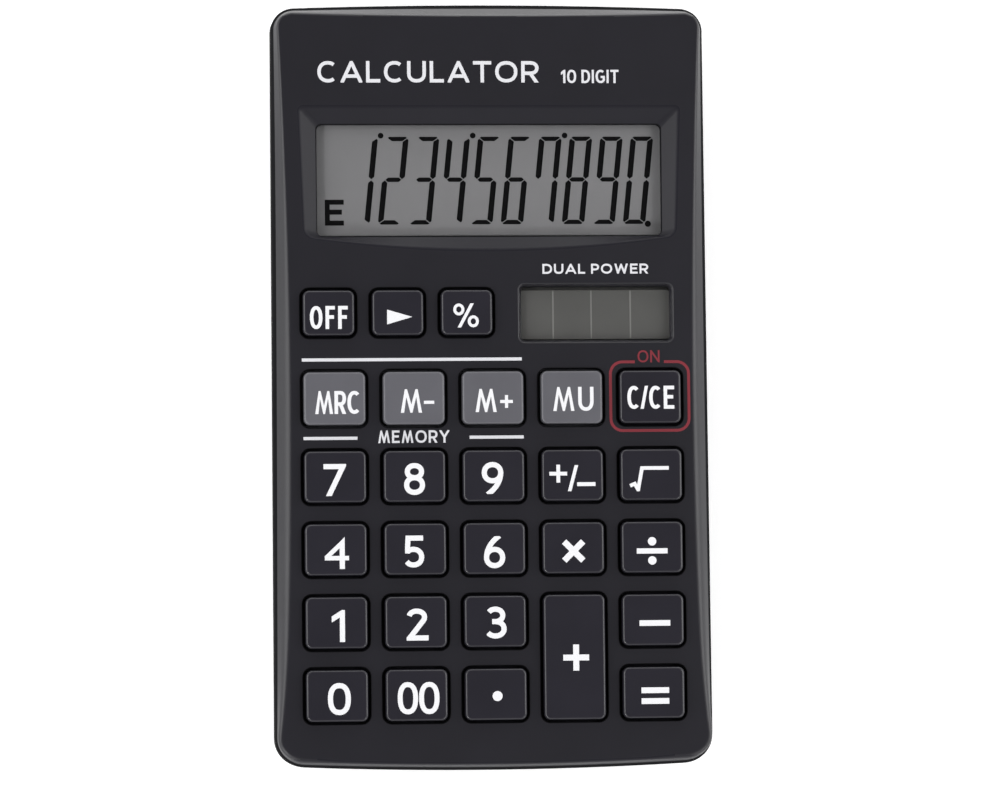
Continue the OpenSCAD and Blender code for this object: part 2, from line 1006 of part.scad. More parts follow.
module key_equals() {
  color(black_plastic) field_key(4, 4);
}

front_cover();
back_cover();
display_window();
display_polariser();
display_glass_front();
display_glass_rear();
display_reflector();
display_frame();
display_ribbon();
solar_window();
solar_cell();
solar_pad();
solar_lead_red();
solar_lead_black();
circuit_board();
chip_blob();
resistors();
diodes();
capacitor();
keypad_sheet();
key_domes();
contact_pills();
button_cell();
battery_contact_positive();
battery_contact_negative();
battery_cover();
battery_cover_screw();
case_screws();
board_screws();
rubber_feet();
key_off();
key_back();
key_percent();
key_mrc();
key_m_minus();
key_m_plus();
key_mu();
key_clear();
key_7();
key_8();
key_9();
key_sign();
key_root();
key_4();
key_5();
key_6();
key_times();
key_divide();
key_1();
key_2();
key_3();
key_plus();
key_minus();
key_0();
key_00();
key_point();
key_equals();
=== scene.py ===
import json
import math

import bpy
import bmesh
from mathutils import Matrix, Vector
from mathutils.geometry import delaunay_2d_cdt


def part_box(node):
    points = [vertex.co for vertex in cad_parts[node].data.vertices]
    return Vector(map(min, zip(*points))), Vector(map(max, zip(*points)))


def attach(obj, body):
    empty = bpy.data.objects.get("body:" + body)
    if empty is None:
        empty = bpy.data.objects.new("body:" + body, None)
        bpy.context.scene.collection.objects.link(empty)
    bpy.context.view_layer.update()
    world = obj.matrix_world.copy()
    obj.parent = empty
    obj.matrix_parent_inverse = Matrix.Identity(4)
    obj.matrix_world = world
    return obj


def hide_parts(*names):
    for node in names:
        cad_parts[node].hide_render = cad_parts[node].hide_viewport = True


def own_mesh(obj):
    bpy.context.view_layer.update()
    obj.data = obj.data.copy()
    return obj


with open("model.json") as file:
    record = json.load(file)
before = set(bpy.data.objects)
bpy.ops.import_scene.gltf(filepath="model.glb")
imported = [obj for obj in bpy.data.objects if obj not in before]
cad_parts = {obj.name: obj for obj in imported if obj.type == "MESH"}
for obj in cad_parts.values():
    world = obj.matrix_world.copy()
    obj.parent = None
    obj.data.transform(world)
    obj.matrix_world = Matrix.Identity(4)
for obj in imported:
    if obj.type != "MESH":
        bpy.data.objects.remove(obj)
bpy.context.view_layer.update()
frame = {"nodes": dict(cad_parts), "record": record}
scene = bpy.context.scene
scene.view_settings.view_transform = "Standard"

MM = 0.001
FILLET_STEPS = 6

# ---- sizes from the frame, in mm


def box_mm(node):
    low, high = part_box(node)
    return [c / MM for c in low], [c / MM for c in high]


HALF_WIDTH, HALF_LENGTH, FACE_Z = box_mm("front_cover")[1]
FACE_THICKNESS = 1.8
FACE_UNDER = FACE_Z - FACE_THICKNESS
SEAM_Z = 6.0

CASE_NODES = frame["record"]["behaviour"]["bodies"]["case"]
KEY_NODES = [n for n in frame["nodes"] if n not in CASE_NODES]
KEY_FLANGE = 0.8
OPENING_GAP, OPENING_RIM = 0.44, 0.12
KEY_CORNER = 1.0
GREY_KEYS = {"key_mrc", "key_m_minus", "key_m_plus", "key_mu"}


# ---- camera, first

CAMERA_DISTANCE = 850.0
CAMERA_AZIMUTH = math.radians(-5.6)
CAMERA_TILT = math.radians(-3.11)
CAMERA_ROLL = math.radians(-0.63)
LENS = 191.8
SENSOR_WIDTH = 36
SHIFT = (0.0077, -0.0149)
CLIP = (0.01, 20)


def make_camera():
    data = bpy.data.cameras.new("camera")
    data.lens = LENS
    data.sensor_width = SENSOR_WIDTH
    data.shift_x, data.shift_y = SHIFT
    data.clip_start, data.clip_end = CLIP
    away = Vector((
        math.sin(CAMERA_AZIMUTH) * math.cos(CAMERA_TILT),
        math.sin(CAMERA_TILT),
        math.cos(CAMERA_AZIMUTH) * math.cos(CAMERA_TILT),
    ))
    right = Vector((0, 1, 0)).cross(away).normalized()
    up = away.cross(right)
    right, up = (
        math.cos(CAMERA_ROLL) * right + math.sin(CAMERA_ROLL) * up,
        math.cos(CAMERA_ROLL) * up - math.sin(CAMERA_ROLL) * right,
    )
    place = Vector((0, 0, FACE_Z)) + away * CAMERA_DISTANCE
    camera = bpy.data.objects.new("camera", data)
    turned = Matrix((right, up, away)).transposed().to_4x4()
    camera.matrix_world = Matrix.Translation(place * MM) @ turned
    scene.collection.objects.link(camera)
    scene.camera = camera


make_camera()


# ---- loops and meshes


def arc(cx, cy, r, a0, a1, n):
    return [
        (cx + r * math.cos(math.radians(a0 + (a1 - a0) * i / n)),
         cy + r * math.sin(math.radians(a0 + (a1 - a0) * i / n)))
        for i in range(n + 1)
    ]


def circle(x, y, r):
    return arc(x, y, r, 0, 345, 23)


def rounded(cx, cy, w, h, r, n=8):
    """Rounded rectangle, anticlockwise from the right side's lower corner."""
    r = max(r, 0.02)
    x, y = w / 2 - r, h / 2 - r
    return (
        arc(cx + x, cy - y, r, -90, 0, n) + arc(cx + x, cy + y, r, 0, 90, n)
        + arc(cx - x, cy + y, r, 90, 180, n) + arc(cx - x, cy - y, r, 180, 270, n)
    )


def lift(loop, z):
    return [(x, y, z) for x, y in loop]


def mix_loops(a, b, t):
    return [tuple(p + (q - p) * t for p, q in zip(u, v)) for u, v in zip(a, b)]


def fillet(a, corner, b, n=FILLET_STEPS):
    """Rings that round the corner between two rings with a quadratic curve."""
    rings = []
    for i in range(n + 1):
        t = i / n
        rings.append([
            tuple((1 - t) ** 2 * p + 2 * t * (1 - t) * q + t * t * r for p, q, r in zip(u, v, w))
            for u, v, w in zip(a, corner, b)
        ])
    return rings


def cut_plane(outlines):
    """Corners and faces of the plane cut by closed outlines, and each face's middle and area."""
    points, edges = [], []
    for loop in outlines:
        start = len(points)
        points += [Vector(p) for p in loop]
        edges += [(start + i, start + (i + 1) % len(loop)) for i in range(len(loop))]
    verts, _, faces, _, _, _ = delaunay_2d_cdt(points, edges, [], 0, 1e-5)
    cut = []
    for f in faces:
        f = list(f)
        x = sum(verts[i].x for i in f) / len(f)
        y = sum(verts[i].y for i in f) / len(f)
        area = sum(
            verts[f[i - 1]].x * verts[f[i]].y - verts[f[i]].x * verts[f[i - 1]].y
            for i in range(len(f))
        )
        cut.append((f, x, y, area))
    return verts, cut


class Build:
    """Collects vertices and faces in mm and makes one mesh object from them."""

    def __init__(self):
        self.verts, self.faces, self.slots = [], [], []

    def ring(self, loop):
        start = len(self.verts)
        self.verts += [tuple(p) for p in loop]
        return list(range(start, start + len(loop)))

    def face(self, ids, slot=0):
        self.faces.append(tuple(ids))
        self.slots.append(slot)

    def loft(self, rings, slot=0, cap_start=False, cap_end=False, flip=False):
        ids = [self.ring(r) for r in rings]
        for a, b in zip(ids, ids[1:]):
            for i in range(len(a)):
                j = (i + 1) % len(a)
                quad = (a[i], a[j], b[j], b[i])
                self.face(quad[::-1] if flip else quad, slot)
        if cap_start:
            self.face(ids[0] if flip else ids[0][::-1], slot)
        if cap_end:
            self.face(ids[-1][::-1] if flip else ids[-1], slot)

    def plate(self, outer, holes, z, up=True):
        """Flat plate with holes. Loops are lists of (x, y)."""
        verts, faces = cut_plane([outer] + holes)
        base = len(self.verts)
        self.verts += [(v.x, v.y, z) for v in verts]
        for f, x, y, area in faces:
            if not inside(x, y, outer) or any(inside(x, y, h) for h in holes):
                continue
            ids = [base + i for i in f]
            self.face(ids if (area > 0) == up else ids[::-1])

    def make(self, name, materials, body="case", sharp=35, weld=0.004):
        """Mesh object on a body. Edges over sharp degrees stay sharp; weld is in mm."""
        mesh = bpy.data.meshes.new(name)
        mesh.from_pydata([Vector(v) * MM for v in self.verts], [], self.faces)
        for m in materials:
            mesh.materials.append(m)
        mesh.polygons.foreach_set("material_index", self.slots)
        bm = bmesh.new()
        bm.from_mesh(mesh)
        bmesh.ops.remove_doubles(bm, verts=bm.verts, dist=weld * MM)
        bm.to_mesh(mesh)
        bm.free()
        obj = bpy.data.objects.new(name, mesh)
        scene.collection.objects.link(obj)
        smooth(obj, sharp)
        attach(obj, body)
        return obj


def inside(x, y, loop):
    hit = False
    for i in range(len(loop)):
        (x0, y0), (x1, y1) = loop[i - 1], loop[i]
        if (y0 > y) != (y1 > y) and x < (x1 - x0) * (y - y0) / (y1 - y0) + x0:
            hit = not hit
    return hit


def keep_flats(mesh):
    """Marks the rim of each level face, so that rounding beside it leaves it flat."""
    bm = bmesh.new()
    bm.from_mesh(mesh)
    for edge in bm.edges:
        level = [abs(f.normal.z) > 0.99999 for f in edge.link_faces]
        if len(level) == 2 and level[0] != level[1]:
            edge.smooth = False
    bm.to_mesh(mesh)
    bm.free()


def smooth(obj, sharp):
    mesh = obj.data
    mesh.polygons.foreach_set("use_smooth", [True] * len(mesh.polygons))
    mesh.set_sharp_from_angle(angle=math.radians(sharp))
    keep_flats(mesh)
    weighted = obj.modifiers.new("weighted normals", "WEIGHTED_NORMAL")
    weighted.keep_sharp = True
    weighted.weight = 80


# ---- materials


RAMP_PLACES = (0.3, 0.7)


class Nodes:
    """A Principled material whose detail comes from procedural nodes."""

    def __init__(self, name, color, roughness, metallic=0.0, ior=1.5):
        self.material = bpy.data.materials.new(name)
        self.material.use_nodes = True
        self.material.diffuse_color = (*color, 1)
        self.tree = self.material.node_tree
        self.shader = self.tree.nodes["Principled BSDF"]
        self.shader.inputs["Base Color"].default_value = (*color, 1)
        self.shader.inputs["Roughness"].default_value = roughness
        self.shader.inputs["Metallic"].default_value = metallic
        self.shader.inputs["IOR"].default_value = ior
        self.color, self.roughness = color, roughness
        self.place = self.add("ShaderNodeTexCoord").outputs["Object"]

    def add(self, kind, **values):
        node = self.tree.nodes.new(kind)
        for k, v in values.items():
            setattr(node, k, v)
        return node

    def link(self, a, b):
        self.tree.links.new(a, b)

    def noise(self, size_mm, detail=2.0, stretch=(1, 1, 1)):
        mapping = self.add("ShaderNodeMapping")
        mapping.inputs["Scale"].default_value = stretch
        noise = self.add("ShaderNodeTexNoise")
        noise.inputs["Scale"].default_value = 1 / (size_mm * MM)
        noise.inputs["Detail"].default_value = detail
        self.link(self.place, mapping.inputs["Vector"])
        self.link(mapping.outputs["Vector"], noise.inputs["Vector"])
        return noise.outputs["Fac"]

    def shade(self, value, spread):
        """Varies the base colour about its own value."""
        ramp = self.add("ShaderNodeValToRGB")
        shares = (1 - spread, 1 + spread)
        for stop, place, share in zip(ramp.color_ramp.elements, RAMP_PLACES, shares):
            stop.position = place
            stop.color = (*(min(1, c * share) for c in self.color), 1)
        self.link(value, ramp.inputs["Fac"])
        self.link(ramp.outputs["Color"], self.shader.inputs["Base Color"])

    def gloss(self, value, spread):
        """Varies the roughness about its own value."""
        ranged = self.add("ShaderNodeMapRange")
        ranged.inputs["To Min"].default_value = max(0, self.roughness - spread)
        ranged.inputs["To Max"].default_value = min(1, self.roughness + spread)
        self.link(value, ranged.inputs["Value"])
        self.link(ranged.outputs["Result"], self.shader.inputs["Roughness"])

    def bump(self, value, height_mm):
        bump = self.add("ShaderNodeBump")
        bump.inputs["Distance"].default_value = height_mm * MM
        self.link(value, bump.inputs["Height"])
        previous = self.shader.inputs["Normal"]
        if previous.is_linked:
            self.link(previous.links[0].from_socket, bump.inputs["Normal"])
        self.link(bump.outputs["Normal"], previous)


def plastic(name, color, roughness, grain_mm, grain_height, spread=0.1, specular=0.5):
    """Moulded plastic: a fine grain in mm, and a colour that drifts by spread."""
    m = Nodes(name, color, roughness)
    m.shader.inputs["Specular IOR Level"].default_value = specular
    cloud = m.noise(9, 3)
    grain = m.noise(grain_mm, 2)
    m.shade(cloud, spread)
    m.gloss(grain, 0.05)
    m.bump(grain, grain_height)
    return m.material


def metal(name, color, roughness, stretch=(1, 1, 1)):
    m = Nodes(name, color, roughness, metallic=1.0)
    brushed = m.noise(0.3, 3, stretch)
    m.shade(brushed, 0.15)
    m.gloss(m.noise(2, 3), 0.08)
    m.bump(brushed, 0.002)
    return m.material


def rubber(name, color, roughness):
    m = Nodes(name, color, roughness, ior=1.45)
    fine = m.noise(0.2, 3)
    m.shade(m.noise(4, 3), 0.15)
    m.gloss(fine, 0.08)
    m.bump(fine, 0.01)
    return m.material


def ink(name, color, specular=0.5):
    m = Nodes(name, color, 0.45)
    m.shader.inputs["Specular IOR Level"].default_value = specular
    fine = m.noise(0.15, 3)
    m.shade(fine, 0.04)
    m.gloss(fine, 0.08)
    m.bump(fine, 0.002)
    return m.material


RIM_POWER = 4.0
RIM_SHINE = 0.6


def clear(name, tint, shine_share, roughness):
    """Thin clear plastic: light passes straight through, and its surface shines a little."""
    m = Nodes(name, tint, roughness)
    through = m.add("ShaderNodeBsdfTransparent")
    through.inputs["Color"].default_value = (*tint, 1)
    shine = m.add("ShaderNodeBsdfGlossy")
    shine.inputs["Roughness"].default_value = roughness
    mixed = m.add("ShaderNodeMixShader")
    facing = m.add("ShaderNodeLayerWeight")
    facing.inputs["Blend"].default_value = 0.5
    steep = m.add("ShaderNodeMath", operation="POWER")
    steep.inputs[1].default_value = RIM_POWER
    share = m.add("ShaderNodeMath", operation="MULTIPLY_ADD")
    share.inputs[1].default_value = RIM_SHINE
    share.inputs[2].default_value = shine_share
    ripple = m.add("ShaderNodeBump")
    ripple.inputs["Distance"].default_value = 0.002 * MM
    surface = m.tree.nodes["Material Output"].inputs["Surface"]
    for a, b in (
        (m.noise(6, 2), ripple.inputs["Height"]),
        (ripple.outputs["Normal"], shine.inputs["Normal"]),
        (facing.outputs["Facing"], steep.inputs[0]),
        (steep.outputs["Value"], share.inputs[0]),
        (share.outputs["Value"], mixed.inputs["Fac"]),
        (through.outputs["BSDF"], mixed.inputs[1]),
        (shine.outputs["BSDF"], mixed.inputs[2]),
        (mixed.outputs["Shader"], surface),
    ):
        m.link(a, b)
    return m.material


CASE_BLACK = plastic("case black", (0.0085, 0.0079, 0.0118), 0.4, 0.14, 0.003, 0.08)
BACK_BLACK = plastic("back black", (0.011, 0.011, 0.0125), 0.6, 0.4, 0.02, 0.12, 0.22)
KEY_BLACK = plastic("key black", (0.0152, 0.0142, 0.02), 0.3, 0.12, 0.003, 0.08)
KEY_GREY = plastic("key grey", (0.101, 0.1, 0.113), 0.35, 0.12, 0.003, 0.06)
# Key sides, flanges and insides: darker, less shiny copies of the key plastics, painted shade in
# the gaps round the keys.
KEY_SHADED_SIDE = plastic("key shaded side", (0.011, 0.0105, 0.0145), 0.5, 0.12, 0.003, 0.08, 0.15)
GREY_SHADED_SIDE = plastic("grey key shaded side", (0.06, 0.06, 0.068), 0.5, 0.12, 0.003, 0.06, 0.15)
WHITE_INK = ink("white ink", (0.74, 0.74, 0.76))
FACE_INK = ink("face ink", (0.64, 0.64, 0.67))
RED_INK = ink("red ink", (0.19, 0.02, 0.03))


# ---- front cover

# Side walls, opening walls and the window lip: a near black copy of the case plastic that barely
# reflects, painted shade along the outline and in the gaps.
WALL_PAINTED_SHADE = plastic("side painted shade", (0.008, 0.008, 0.009), 0.8, 0.35, 0.01, 0.1, 0.04)
# Display surround and keypad end facet: a copy of the case plastic that reflects less, painted
# shade.
SURROUND_PAINTED_SHADE = plastic("surround painted shade", (0.0098, 0.0092, 0.0135), 0.45, 0.14, 0.003, 0.08, 0.24)
# Display end facet: a lighter, shinier copy of the case plastic, a painted highlight.
END_PAINTED_HIGHLIGHT = plastic("painted highlight end", (0.024, 0.023, 0.027), 0.36, 0.14, 0.003, 0.08, 1.0)

# The flat panel: narrowest half width, where that is, its curve and how it widens at the end
WAIST, WAIST_Y, WAIST_RADIUS = 32.63, 3.0, 1130.0
PANEL_ASIDE = 0.06
CORNER_FLARE, FLARE_START, FLARE_LENGTH = 0.5, -38, 16
DISPLAY_END_FACET, DISPLAY_END_RADIUS = 1.9, 960
KEYPAD_END_FACET, KEYPAD_END_EXTRA = 0.85, 0.06
# Corner radii at the display end and at the keypad end
PANEL_CORNERS, OUTLINE_CORNERS = (2.5, 4.0), (3.6, 4.6)
# The outline: half widths at the two ends and how far each end bows
HALF_WIDTH_DISPLAY, HALF_WIDTH_KEYPAD = HALF_WIDTH - 0.2, HALF_WIDTH + 0.08
BOW_DISPLAY, BOW_KEYPAD = 0.65, 0.95
# How far the bevel's outer edge lies inside the outline, and how much further at the ends
EDGE_FLARE, END_FLARE = 0.3, 0.1
# Faces this near to an end belong to its facet
END_FACET = 2.1
# The panel's rounded edge at the two ends: its inset and the share of the bevel it takes up
SOFT_EDGE_DISPLAY, SOFT_EDGE_KEYPAD = (0.4, 0.2), (0.8, 0.5)
SOFT_FADE_LENGTH, SOFT_SIDE_START, SOFT_SIDE_WIDTH = 70, 25, 7
SHADED_WALL_SLOT, SHADED_SURROUND_SLOT, HIGHLIGHT_END_SLOT = 1, 2, 3
BEVEL_DROP = 1.9
BEVEL_LOW = FACE_Z - BEVEL_DROP
EDGE_LOW = BEVEL_LOW - 0.5
# Points along a ring's half end, corner and side
RING_END, RING_CORNER, RING_SIDE = 14, 12, 40
QUARTER_HANDLE = 0.5523


def panel_side(y):
    flare = CORNER_FLARE * max(0, (FLARE_START - y) / FLARE_LENGTH) ** 2
    return WAIST + (y - WAIST_Y) ** 2 / (2 * WAIST_RADIUS) + flare


def panel_display_end(x):
    return HALF_LENGTH - DISPLAY_END_FACET + x * x / (2 * DISPLAY_END_RADIUS)


def panel_keypad_end(x):
    return -HALF_LENGTH + KEYPAD_END_FACET + BOW_KEYPAD * (x / HALF_WIDTH) ** 2


def outline_side(y):
    share = (y + HALF_LENGTH) / (2 * HALF_LENGTH)
    return HALF_WIDTH_KEYPAD + (HALF_WIDTH_DISPLAY - HALF_WIDTH_KEYPAD) * share


def outline_display_end(x):
    return HALF_LENGTH - BOW_DISPLAY * (x / HALF_WIDTH) ** 2


def outline_keypad_end(x):
    return -HALF_LENGTH - KEYPAD_END_EXTRA + BOW_KEYPAD * (x / HALF_WIDTH) ** 2


def bezier_corner(p0, d0, p1, d1, handle):
    """Curve from p0 to p1 that leaves along d0 and arrives along d1."""
    a, b = p0, (p0[0] + d0[0] * handle, p0[1] + d0[1] * handle)
    c, d = (p1[0] - d1[0] * handle, p1[1] - d1[1] * handle), p1
    points = []
    for i in range(RING_CORNER + 1):
        t = i / RING_CORNER
        k = ((1 - t) ** 3, 3 * t * (1 - t) ** 2, 3 * t * t * (1 - t), t ** 3)
        points.append(tuple(sum(w * q[j] for w, q in zip(k, (a, b, c, d))) for j in (0, 1)))
    return points


def unit(x, y):
    size = math.hypot(x, y)
    return x / size, y / size


def case_ring(side, display_end, keypad_end, corners, inset):
    """Closed ring around the case, anticlockwise, from three edge functions and two radii."""
    step = 0.01

    def right(y):
        return side(y) - inset

    def top(x):
        return display_end(x) - inset

    def low(x):
        return keypad_end(x) + inset

    rd, rk = (max(r - inset, 0.3) for r in corners)
    yd, yk = HALF_LENGTH - rd, -HALF_LENGTH + rk
    for _ in range(4):
        xd, xk = right(yd) - rd, right(yk) - rk
        yd, yk = top(xd) - rd, low(xk) + rk
    half = [(xk * i / RING_END, low(xk * i / RING_END)) for i in range(RING_END)]
    half += bezier_corner(
        (xk, low(xk)), unit(step, low(xk + step) - low(xk)),
        (right(yk), yk), unit(right(yk + step) - right(yk), step), QUARTER_HANDLE * rk,
    )
    side_ys = [yk + (yd - yk) * i / RING_SIDE for i in range(1, RING_SIDE)]
    half += [(right(y), y) for y in side_ys]
    half += bezier_corner(
        (right(yd), yd), unit(right(yd + step) - right(yd), step),
        (xd, top(xd)), unit(-step, top(xd - step) - top(xd)), QUARTER_HANDLE * rd,
    )
    half += [(xd * i / RING_END, top(xd * i / RING_END)) for i in range(RING_END - 1, -1, -1)]
    return half + [(-x, y) for x, y in half[-2:0:-1]]


def panel_ring(inset):
    """Edge of the flat panel, a little aside of the middle as in the photograph."""
    ring = case_ring(panel_side, panel_display_end, panel_keypad_end, PANEL_CORNERS, inset)
    return [(x + PANEL_ASIDE, y) for x, y in ring]


def outline_ring(inset):
    return case_ring(
        outline_side, outline_display_end, outline_keypad_end, OUTLINE_CORNERS, inset
    )


def shoulder_ring():
    """Outer edge of the bevel, a little further in at the two ends."""
    return case_ring(
        outline_side, lambda x: outline_display_end(x) - END_FLARE,
        lambda x: outline_keypad_end(x) + END_FLARE, OUTLINE_CORNERS, EDGE_FLARE,
    )


def key_size(node):
    """Middle, width and length of a key's cap in mm."""
    low, high = box_mm(node)
    return (
        (low[0] + high[0]) / 2, (low[1] + high[1]) / 2,
        high[0] - low[0] - 2 * KEY_FLANGE, high[1] - low[1] - 2 * KEY_FLANGE,
    )


# The display's sunken surround and the solar window's recess
VIEW_WIDTH, VIEW_HEIGHT, VIEW_Y = 55.3, 17.85, 32.9
VIEW_LOW, VIEW_HIGH = VIEW_Y - VIEW_HEIGHT / 2, VIEW_Y + VIEW_HEIGHT / 2
SURROUND_DEPTH = 1.4
# The surround on the face: half widths, upper and lower edge, bow and corner radii
SURROUND_HALF_TOP, SURROUND_HALF_LOW = 30.45, 29.75
SURROUND_TOP, SURROUND_LOW, SURROUND_BOW = 44.6, 23.7, 2.0
SURROUND_CORNERS = (0.6, 1.6)
SURROUND_RIM, SURROUND_LIP = 0.3, 0.12
# Shares of the way down at which the rim's rounding ends and the lip's begins
SURROUND_TURN, SURROUND_EDGE = 0.12, 0.93
VIEW_CORNER = 0.9
PAD_HALF, PAD_LOW, PAD_HIGH = 31.0, 20.6, 45.4
LENS_TOP = FACE_Z - SURROUND_DEPTH - 0.4
LENS_UNDER = LENS_TOP - 1.0
SOLAR_X, SOLAR_Y, SOLAR_WIDTH, SOLAR_HEIGHT = 16.8, 11.48, 24.8, 9.4
SOLAR_LENS_TOP = FACE_Z - 0.9
SOLAR_RIM = 0.15
CAVITY_INSET = 2.6
CASE_SCREWS = [(28.5, 51.5), (30.6, 4.9), (26.0, -56.4)]
BOARD_SCREWS = [(-28.0, 18.1), (28.0, 18.1), (-9.5, 4.75), (9.5, 4.75), (0.0, -56.3)]
# Outer radius, hole radius and lower end of each post
CASE_POST, BOARD_POST = (1.6, 1.0, 5.0), (1.5, 0.75, 7.6)


def surround_loop(half_top, half_low, y_top, y_low, bow, r_top, r_low):
    """Display surround, anticlockwise from the lower left, with a bowed lower edge."""
    n, m = 24, 6
    x_low = half_low - r_low
    points = []
    for i in range(n + 1):
        x = -x_low + 2 * x_low * i / n
        points.append((x, y_low - bow * (1 - (x / x_low) ** 2)))
    points += arc(x_low, y_low + r_low, r_low, -90, 0, m)[1:]
    points += arc(half_top - r_top, y_top - r_top, r_top, 0, 90, m)
    points += arc(r_top - half_top, y_top - r_top, r_top, 90, 180, m)
    points += arc(-x_low, y_low + r_low, r_low, 180, 270, m)[:-1]
    return points


def add_key_openings(b, face_loops, under_loops):
    for node in KEY_NODES:
        x, y, w, h = key_size(node)
        w, h, r = w + 2 * OPENING_GAP, h + 2 * OPENING_GAP, KEY_CORNER + OPENING_GAP
        outer = rounded(x, y, w + 2 * OPENING_RIM, h + 2 * OPENING_RIM, r + OPENING_RIM)
        hole = rounded(x, y, w, h, r)
        # The opening's rim and wall take the unreflecting copy: painted shade in the gap round each
        # key.
        b.loft(
            fillet(lift(outer, FACE_Z), lift(hole, FACE_Z), lift(hole, FACE_Z - OPENING_RIM), 4)
            + [lift(hole, FACE_UNDER)],
            slot=SHADED_WALL_SLOT,
        )
        face_loops.append(outer)
        under_loops.append(hole)


def surround_at(grow, t):
    """Loop that is t of the way from the face down to the window's edge."""
    r_top, r_low = SURROUND_CORNERS
    wide = surround_loop(
        SURROUND_HALF_TOP + grow, SURROUND_HALF_LOW + grow,
        SURROUND_TOP + grow, SURROUND_LOW - grow, SURROUND_BOW, r_top + grow, r_low + grow,
    )
    narrow = surround_loop(
        VIEW_WIDTH / 2, VIEW_WIDTH / 2, VIEW_HIGH, VIEW_LOW, 0.0, VIEW_CORNER, VIEW_CORNER
    )
    return mix_loops(wide, narrow, t)


def add_surround(b, face_loops, under_loops):
    floor_z = FACE_Z - SURROUND_DEPTH
    start, edge = surround_at(SURROUND_RIM, 0), surround_at(0, 0)
    turn, before, view = (surround_at(0, t) for t in (SURROUND_TURN, SURROUND_EDGE, 1))
    turn = lift(turn, FACE_Z - SURROUND_DEPTH * SURROUND_TURN)
    before = lift(before, FACE_Z - SURROUND_DEPTH * SURROUND_EDGE)
    facets = fillet(lift(start, FACE_Z), lift(edge, FACE_Z), turn)
    # The surround's facets take the less reflecting copy: painted shade.
    b.loft(facets + [before], slot=SHADED_SURROUND_SLOT)
    pocket = rounded_like(view, 1.2)
    pad = box_loop_like(view, PAD_HALF, PAD_LOW, PAD_HIGH)
    # The lip and walls below the surround take the unreflecting copy: a painted shadow line round
    # the window.
    lip = fillet(before, lift(view, floor_z), lift(view, floor_z - SURROUND_LIP), 4)
    b.loft(lip + [
        lift(view, LENS_TOP), lift(pocket, LENS_TOP), lift(pocket, LENS_UNDER),
        lift(pad, LENS_UNDER), lift(pad, FACE_UNDER),
    ], slot=SHADED_WALL_SLOT)
    face_loops.append(start)
    under_loops.append(pad)


def rounded_like(loop, grow):
    """The window loop grown outwards on every side."""
    return [
        (x + math.copysign(grow, x) * min(1, abs(x) / (VIEW_WIDTH / 2 - 1)),
         y + math.copysign(grow, y - VIEW_Y))
        for x, y in loop
    ]


def box_loop_like(loop, half, low, high):
    """The window loop stretched to a rectangle, point for point."""
    mid = (low + high) / 2
    return [
        (x * half / (VIEW_WIDTH / 2), mid + (y - VIEW_Y) * (high - low) / VIEW_HEIGHT)
        for x, y in loop
    ]


def add_solar_recess(b, face_loops, under_loops):
    w, h = SOLAR_WIDTH, SOLAR_HEIGHT
    start = rounded(SOLAR_X, SOLAR_Y, w + 2 * SOLAR_RIM, h + 2 * SOLAR_RIM, 1.1)
    edge = rounded(SOLAR_X, SOLAR_Y, w, h, 1.0)
    floor = rounded(SOLAR_X, SOLAR_Y, w - 0.8, h - 0.8, 0.6)
    rings = fillet(
        lift(start, FACE_Z), lift(edge, FACE_Z),
        mix_loops(lift(edge, FACE_Z), lift(floor, SOLAR_LENS_TOP), 0.3), 4,
    )
    rings += [lift(floor, SOLAR_LENS_TOP), lift(floor, FACE_UNDER)]
    b.loft(rings)
    face_loops.append(start)
    under_loops.append(floor)


def add_posts(b):
    posts = [(s * x, y, *CASE_POST) for x, y in CASE_SCREWS for s in (1, -1)]
    posts += [(x, y, *BOARD_POST) for x, y in BOARD_SCREWS]
    for x, y, r, hole, low in posts:
        outer, inner = circle(x, y, r), circle(x, y, hole)
        b.loft([
            lift(outer, FACE_UNDER + 0.1), lift(outer, low),
            lift(inner, low), lift(inner, FACE_UNDER - 0.6),
        ], flip=True, cap_end=True)


def by_length(display, keypad):
    """Ring that changes from one loop to the other along the sides, towards the keypad end."""
    ring = []
    for p, q in zip(display, keypad):
        t = min(1, max(0, 0.5 - p[1] / SOFT_FADE_LENGTH))
        t *= min(1, max(0, (abs(p[0]) - SOFT_SIDE_START) / SOFT_SIDE_WIDTH))
        ring.append(tuple(u + (v - u) * t for u, v in zip(p, q)))
    return ring


